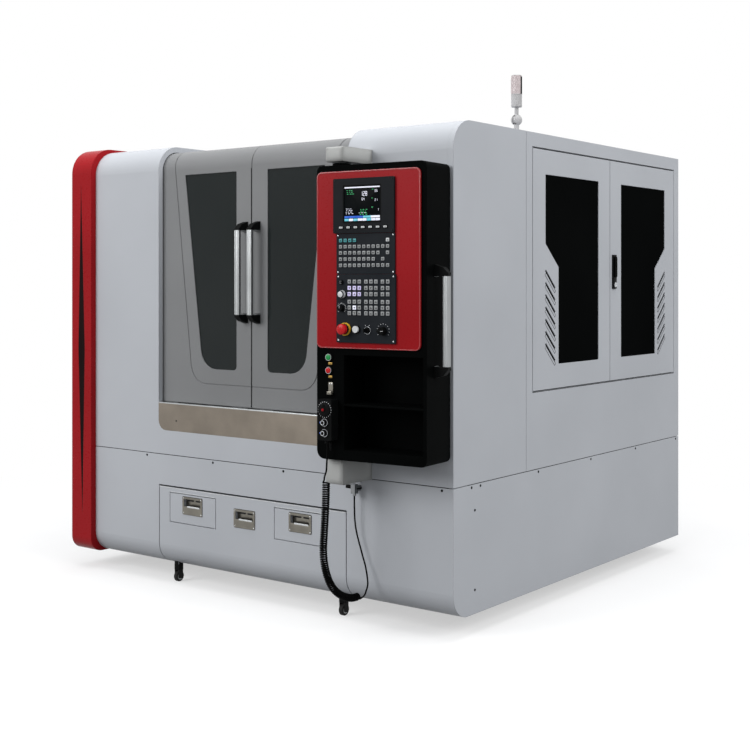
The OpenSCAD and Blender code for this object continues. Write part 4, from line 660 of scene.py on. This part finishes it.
def captions(seed, x, z, lines, drop, most):
    """Rows of short dashes standing for small captions: seeded widths, laid end to end along each line."""
    rng = np.random.default_rng(seed)
    marks = []
    for line in range(lines):
        edges = np.cumsum(rng.uniform(3.0, 8.0, 6))
        for a, b in zip(edges[:-1:2], edges[1::2]):
            if b < most:
                marks.append(lcd_bar(x + a, z - line * drop, b - a, 2.2))
    return marks


# Layout in mm from the lower left corner. Bars: x, z, width, height and finish
LCD_BARS = ((2, 127, 158, 5, 1), (2, 14, 84, 8, 3), (86, 14, 34, 8, 4), (120, 14, 40, 8, 1))
SOFT_KEY_FINISH = (4, 1, 4, 1, 1, 4, 1, 1)
# Numbers: figures, x, z, width, height and thickness
LCD_NUMBERS = (("128", 76, 97, 6, 16, 1.9), ("05", 138, 110, 4, 8, 1.3), ("64", 80, 80, 4, 9, 1.4),
               ("21", 138, 76, 4, 8, 1.3), ("1", 150, 40, 4, 8, 1.3))
# Captions: seed, x, z, lines, drop from line to line, and greatest width
GREEN_CAPTIONS = ((3, 8, 118, 3, 7, 50), (5, 118, 119, 1, 6, 20), (6, 118, 86, 1, 6, 20),
                  (8, 118, 52, 1, 7, 20), (9, 66, 44, 4, 6, 50))
WHITE_CAPTIONS = ((12, 4, 48, 4, 6, 60), (14, 60, 32, 1, 6, 70))
LCD_MID = (LCD_X + LCD_W / 2, LCD_Z + LCD_H / 2)
lcd = [(plate(PANEL, pend(*LCD_MID, LCD_OUT), (LCD_W - 0.6, LCD_H - 0.6), 0.5, 1, 0.1), 0)]
lcd += [(lcd_bar(*bar), kind) for *bar, kind in LCD_BARS]
lcd += [(lcd_bar(2 + 20 * k, 3, 19, 9), kind) for k, kind in enumerate(SOFT_KEY_FINISH)]
lcd += [(mark, 1) for number in LCD_NUMBERS for mark in numerals(*number)]
lcd += [(mark, 2) for caption in GREEN_CAPTIONS for mark in captions(*caption)]
lcd += [(mark, 1) for caption in WHITE_CAPTIONS for mark in captions(*caption)]
piece("display", lcd, [lit_dark, lit_white, lit_green, lit_blue, lit_cyan], "pendant")
BEZEL_KEY_X, BEZEL_KEY_Z = [223 + 33 * (k - 3) for k in range(7)], 1493
bezel = [(rim(PANEL, pend(*LCD_MID, SCREEN_OUT), (LCD_W + 9, LCD_H + 9), 4, 0.9, 4), 0)]
bezel += [(plate(PANEL, pend(x, BEZEL_KEY_Z, SCREEN_OUT), (20.6, 12.6), 2.3, 2, 0.8, 12), 0)
          for x in BEZEL_KEY_X]
bezel += [(plate(PANEL, pend(x, BEZEL_KEY_Z, SCREEN_OUT + 2.3), (15, 7), 0.15, 1, 0.05, 8, 0.1), 1)
          for x in BEZEL_KEY_X]
bezel += [(plate(PANEL, pend(x, BEZEL_KEY_Z, SCREEN_OUT + 2.4), (7, 1.6), 0.15, 0.3, 0.05, 4, 0.1), 2)
          for x in BEZEL_KEY_X]
piece("display_bezel_keys", bezel, [black_abs, key_pale, dark_print_and_shade], "pendant")

# Operator box: key field

def key_cap(spot, size, kind, seed):
    """A membrane key: a dark foot, a pale cap drawn in by 1 mm, and two short seeded strokes for its sign."""
    rng = np.random.default_rng(seed)
    width, height = size
    top = spot - inward * 2.4 * MM
    upright = top + across * rng.uniform(-1.5, 1.5) * MM
    level = top + Z * rng.uniform(-2.5, 2.5) * MM
    return [(plate(PANEL, spot, size, 1.7, 2, 0.3, 12), 4),
            (plate(PANEL, spot, (width - 2, height - 2), 2.4, 2, 0.6, 12), kind),
            (plate(PANEL, upright, (2.2, height * 0.46), 0.15, 0.3, 0.05, 4, 0.1), 3),
            (plate(PANEL, level, (width * 0.5, 2), 0.15, 0.3, 0.05, 4, 0.1), 3)]


KEY_X, KEY_STEP, KEY_Z, KEY_DROP, MOST_COLS = 120, 21, 1444, 23.6, 11
KEY_COLS = [(0, 1, 2, 3, 10), range(MOST_COLS), (*range(9), 10), (*range(8), 9), range(MOST_COLS)]
caps = []
for row, cols in enumerate(KEY_COLS):
    for col in cols:
        spot = pend(KEY_X + KEY_STEP * col, KEY_Z - KEY_DROP * row, KEYS_OUT)
        kind = (1 if col < 4 else 2) if row == 0 else 0
        caps += key_cap(spot, (16.4, 15.4), kind, row * MOST_COLS + col)
piece("key_field", caps, [key_grey, key_teal, key_pale, dark_print_and_shade, panel_abs], "pendant")

# Operator box: operation panel keys, lamp, legends and screws
OPER_X, OPER_Z, FIRST_SEED = 101, 1057, 100
COLUMNS, ROWS = (60, 83, 105, 135, 157, 179, 208, 231), (231, 207, 184, 155, 133, 112)
caps = []
for row, z in enumerate(ROWS):
    for col, x in enumerate(COLUMNS):
        kind = 1 if row in (1, 2) and col < 3 else 2 if (row, col) == (4, 1) else 0
        seed = FIRST_SEED + row * len(COLUMNS) + col
        caps += key_cap(pend(OPER_X + x, OPER_Z + z, OPER_OUT), (17.4, 17.4), kind, seed)
piece("operation_keys", caps, [key_grey, lit_violet, lit_white, dark_print_and_shade, panel_abs], "pendant")

panel_heads = [screw(PANEL, pend(x, z, OPER_OUT), 3.3, 1.8) for x in (110, 355) for z in (1066, 1307)]
panel_heads += [screw(PANEL, pend(x, z, KEYS_OUT), 3.3, 1.8) for x in (107, 353) for z in (1324, 1463)]
piece("panel_screws", sum(panel_heads, []), [chrome, dark_print_and_shade], "pendant")
bezel_heads = [screw(PANEL, pend(x, z, SCREEN_OUT), 3.5, 1.6) for x in (95, 351) for z in (1480, 1671)]
piece("bezel_screws", sum(bezel_heads, []), [bezel_abs, dark_print_and_shade], "pendant")


def tick_ring(axes, at, inner, outer, start, stop, count, width=1.3, out=0.2):
    """Radial marks: short bars from the inner to the outer radius, evenly turned from start to stop
    degrees."""
    marks = []
    for turn in np.radians(np.linspace(start, stop, count)):
        ray = np.cos(turn) * axes[0] + np.sin(turn) * axes[1]
        turned = (ray, np.cross(axes[2], ray), axes[2])
        middle = at + ray * (inner + outer) / 2 * MM
        marks.append(plate(turned, middle, (outer - inner, width), out, 0.2, 0.05, 4, 0.2))
    return marks


# Places of the controls on the operation panel, and of the buttons under it
ESTOP, PUSH, KEY, MODE = (143, 1108), (193, 1108), (241, 1105), (311, 1104)
OVERRIDE, PILOT, SMALL_KNOB = (125, 1187), (127, 1240), (125, 1286)
BUTTON_X, START_Z, STOP_Z = 59, 998, 948
marks = tick_ring(PANEL, pend(*OVERRIDE, OPER_OUT), 16.5, 21, -40, 220, 15, 1.8)
marks += tick_ring(PANEL, pend(*MODE, OPER_OUT), 25, 28.5, -30, 210, 11, 1.8)
marks += tick_ring(PANEL, pend(*KEY, OPER_OUT), 18, 23, 65, 115, 2, 1.8)
profile = [(20, 7.8), (20.4, 8.6), (23.6, 8.6), (24.6, 7.6), (24.6, -0.2), (20, -0.2), (20, 7.8)]
ring = lathe(PANEL, pend(*ESTOP, OPER_OUT), profile, 40)
dashes = tick_ring(PANEL, pend(*ESTOP, OPER_OUT + 8.6), 21.4, 22.6, 0, 330, 12, 4.5)
profile = [(13, -0.2), (16.6, -0.2), (16.6, 3.6), (15.6, 4.5), (13.6, 4.5), (13, 4), (13, -0.2)]
collar = lathe(PANEL, pend(*PUSH, OPER_OUT), profile)
profile = [(13, -0.2), (14.4, -0.2), (14.4, 0.9), (14, 1.3), (13.4, 1.3), (13, 0.9), (13, -0.2)]
key_ring = lathe(PANEL, pend(*KEY, OPER_OUT), profile, 40)
profile = [(0, -0.2), (15.5, -0.2), (15.5, 9), (14.4, 12.6), (10, 14.4), (0, 15)]
pilot = lathe(PANEL, pend(*PILOT, OPER_OUT), profile)
profile = [(0, -0.2), (8.4, -0.2), (8.1, 7.4), (7.2, 8.4), (0, 8.4)]
small_knob = lathe(PANEL, pend(*SMALL_KNOB, OPER_OUT), profile)
hint = tick_ring(PANEL, pend(*SMALL_KNOB, OPER_OUT + 8.4), 3.5, 5.5, 60, 300, 5, 1.6)
piece("operation_marks", [*marks, *hint, (ring, 1), (key_ring, 2), (pilot, 3), (small_knob, 4), (collar, 4),
                          *((dash, 5) for dash in dashes)],
      [print_white, yellow_abs, chrome, white_abs_and_highlight, black_abs, dark_print_and_shade], "pendant")

# Moving controls: crowned caps and pointers on the solids' own knobs
profile = [(0, 18), (17, 18), (20.3, 20), (20.5, 29), (19.4, 33.4), (15, 36), (7, 36.9), (0, 37.1)]
piece("estop_crown", [lathe(PANEL, pend(*ESTOP, OPER_OUT), profile, 40)], [red_abs], "estop")
lever = plate(PANEL, pend(*MODE, 37.4), (32, 9), 4, 4, 1.2, 16)
lever_line = plate(PANEL, pend(MODE[0] + 8, MODE[1], 41.4), (12, 1.8), 0.2, 0.4, 0.05, 4, 0.1)
piece("mode_lever", [(lever, 0), (lever_line, 1)], [black_abs, print_white], "mode")
pointer = plate(PANEL, pend(OVERRIDE[0], OVERRIDE[1] + 6, 33.5), (2, 11), 0.25, 0.4, 0.05, 4, 0.1)
piece("override_pointer", [pointer], [print_white], "override")
bow = plate(PANEL, pend(*KEY, 42.6), (3, 15), 0.6, 1.2, 0.3, 12)
piece("key_plug", [bow], [black_abs], "key")
profile = [(0, 9.4), (10.9, 9.4), (10.9, 11.2), (10.2, 12.6), (6, 13.5), (0, 13.8)]
for name, z, plastic, body, slot in (("start_cap", START_Z, green_abs, "start", "green_plastic"),
                                     ("stop_cap", STOP_Z, red_abs, "stop", "red_plastic")):
    piece(name, [lathe(PANEL, pend(BUTTON_X, z, 0), profile)], [plastic], body)

# Lighter red rim along the red face's edge: painted highlight of its rounded edge
edge_highlight = rim(PANEL, pend(235.5, 1371, FACE_OUT), (461, 674), 4.2, 0.9, 22, 48)
piece("face_edge_painted_highlight", [edge_highlight], [red_highlight_rim], "pendant")

# Shell fittings: button collars, brass tags, hanger hook, hand unit's scale
dark_collar = [(13.4, -0.2), (15.6, -0.2), (15.6, 4.6), (14.8, 5.6), (13.4, 5.6), (13.4, -0.2)]
bright_collar = [(11.3, -0.2), (13.4, -0.2), (13.4, 9.6), (13, 10.4), (11.7, 10.4), (11.3, 9.6), (11.3, -0.2)]
rings = [(lathe(PANEL, pend(BUTTON_X, z, 0), profile), kind)
         for profile, kind in ((dark_collar, 2), (bright_collar, 0)) for z in (START_Z, STOP_Z)]
rings += [(plate(PANEL, pend(62, z, 0), (18, 9), 0.9, 1, 0.3), 1) for z in (974, 923)]
piece("button_collars_tags", rings, [chrome, brass, black_abs], "pendant")
hook = [(plate(PANEL, pend(66, 879, 3), (20.8, 46.6), 0.7, 3, 0.4), 0),
        (plate(PANEL, pend(66, 862, 14), (20.8, 12.8), 0.8, 3, 0.4), 0),
        (plate(DOWN, pend(66, 856, 7), (14.6, 20.8), 0.6, 1, 0.3), 0)]
hook += [(grid, 1 + kind) for x in (61, 71) for grid, kind in screw(PANEL, pend(x, 896, 3.7), 2.6, 1.2)]
piece("hanger_hook", hook, [satin_steel, chrome, dark_print_and_shade], "pendant")

DIAL, UNIT_OUT, DIAL_OUT = (68, 801), 46, 61
profile = [(27.6, -0.2), (31.4, -0.2), (31.4, 0.9), (30.8, 1.2), (28.2, 1.2), (27.6, 0.8), (27.6, -0.2)]
dial_scale = [(lathe(PANEL, pend(*DIAL, UNIT_OUT), profile, 40), 0)]
ticks = tick_ring(PANEL, pend(*DIAL, UNIT_OUT + 1.1), 27.9, 31.2, -90, 252, 20, 3)
dial_scale += [(mark, 1) for mark in ticks]
piece("hand_dial_scale", dial_scale, [black_abs, print_white], "pendant")
profile = [(0, -0.3), (5.5, -0.3), (5.5, 0.6), (4.6, 1.2), (0, 1.4)]
piece("hand_dial_cap", [lathe(PANEL, pend(*DIAL, DIAL_OUT), profile)], [red_coat], "dial")
KNOB_X, NOSE_X, NOSE_OUT, KNOB_TOP = 67, 55, 50, 61.4
foot_ring = [(13.2, 0.4), (15, 0.4), (15, 2.4), (14.4, 3), (13.6, 3), (13.2, 2.4), (13.2, 0.4)]
top_ring = [(6.5, -0.3), (9, -0.3), (9, 0.6), (8.4, 1.2), (7, 1.2), (6.5, 0.6), (6.5, -0.3)]
for name, z, body in (("axis_pointer", 752, "axis_knob"), ("rate_pointer", 712, "rate_knob")):
    nose = [(plate(PANEL, pend(NOSE_X, z, NOSE_OUT), (13, 7), 5, 2.5, 1, 12), 1),
            (lathe(PANEL, pend(KNOB_X, z, UNIT_OUT), foot_ring, 40), 0),
            (lathe(PANEL, pend(KNOB_X, z, KNOB_TOP), top_ring), 0)]
    piece(name, nose, [chrome, blue_abs], body)
profile = [(0, -0.4), (7, -0.4), (7, 4), (5.4, 6), (5, 20), (3.6, 30), (3.2, 31), (0, 31)]
gland = lathe(DOWN, pend(64.5, 671), profile)
piece("cord_gland", [gland], [black_abs], "pendant")

# Plain soft light
world = bpy.data.worlds.new("studio")
scene.world = world
world.use_nodes = True
tree = world.node_tree
tree.nodes.clear()
seen = direct_view(tree)
ambient = add(tree, "Background", {"Color": linear("#f7f9fc"), "Strength": 0.62}).outputs[0]
white = add(tree, "Background", {"Color": (1, 1, 1, 1), "Strength": 1.0}).outputs[0]
blend = add(tree, "MixShader", {0: seen, 1: ambient, 2: white}).outputs[0]
add(tree, "OutputWorld", {"Surface": blend})


def softbox(name, place, aim, size, power):
    """A square area lamp at a place, turned to its aim."""
    lamp = bpy.data.lights.new(name, "AREA")
    lamp.size, lamp.energy = size, power
    made = bpy.data.objects.new(name, lamp)
    made.location = place
    made.rotation_euler = (Vector(aim) - Vector(place)).to_track_quat("-Z", "Y").to_euler()
    scene.collection.objects.link(made)


softbox("front_softbox", (-2.5, -7.0, 4.2), (0, -0.6, 1.0), 4.0, 300)
softbox("side_softbox", (7.5, -0.5, 5.2), (0.8, 0.2, 1.3), 4.0, 285)
softbox("top_softbox", (0.4, -0.4, 6.5), (0, 0, 1.0), 4.5, 225)

# Pale floor that turns to the background's white a little way from the machine
FLOOR_SIDES, FLOOR_RINGS = 64, [0, 1.5, 3, 5, 9, 20, 60]
# Distances in metres where the white starts and is full, and its share up close
WHITE_FROM, WHITE_FULL, WHITE_NEAR = 1.6, 3.6, 0.52
turn = np.arange(FLOOR_SIDES) * 2 * np.pi / FLOOR_SIDES
reach = np.array(FLOOR_RINGS)[:, None]
floor_grid = np.stack([reach * np.cos(turn), reach * np.sin(turn), 0 * reach * turn], axis=-1)
floor = solid("studio_floor", [(floor_grid, 0)], [])
ground, tree = blank_material("studio_floor_paint")
spot = add(tree, "TexCoord").outputs["Object"]
away = add(tree, "VectorMath", {0: spot}, operation="LENGTH").outputs["Value"]
near_far = {"Value": away, "From Min": WHITE_FROM, "From Max": WHITE_FULL, "To Min": WHITE_NEAR}
far = add(tree, "MapRange", near_far, interpolation_type="SMOOTHSTEP")
speck = add(tree, "TexNoise", {"Vector": spot, "Scale": 1.5, "Detail": 3.0})
pale = add(tree, "ValToRGB", {"Fac": speck.outputs["Fac"]},
           [(LOW, linear("#fafafa")), (HIGH, linear("#ffffff"))])
bright = add(tree, "Emission", {"Color": (1, 1, 1, 1), "Strength": 1.0}).outputs[0]
seen = direct_view(tree)
shown = add(tree, "Mix", {0: seen, 6: linear("#777777"), 7: pale.outputs[0]}, data_type="RGBA").outputs[2]
matt = add(tree, "BsdfDiffuse", {"Color": shown}).outputs[0]
mask = add(tree, "Math", {0: seen, 1: far.outputs[0]}, operation="MULTIPLY").outputs[0]
add(tree, "OutputMaterial", {"Surface": add(tree, "MixShader", {0: mask, 1: matt, 2: bright}).outputs[0]})
floor.data.materials.append(ground)
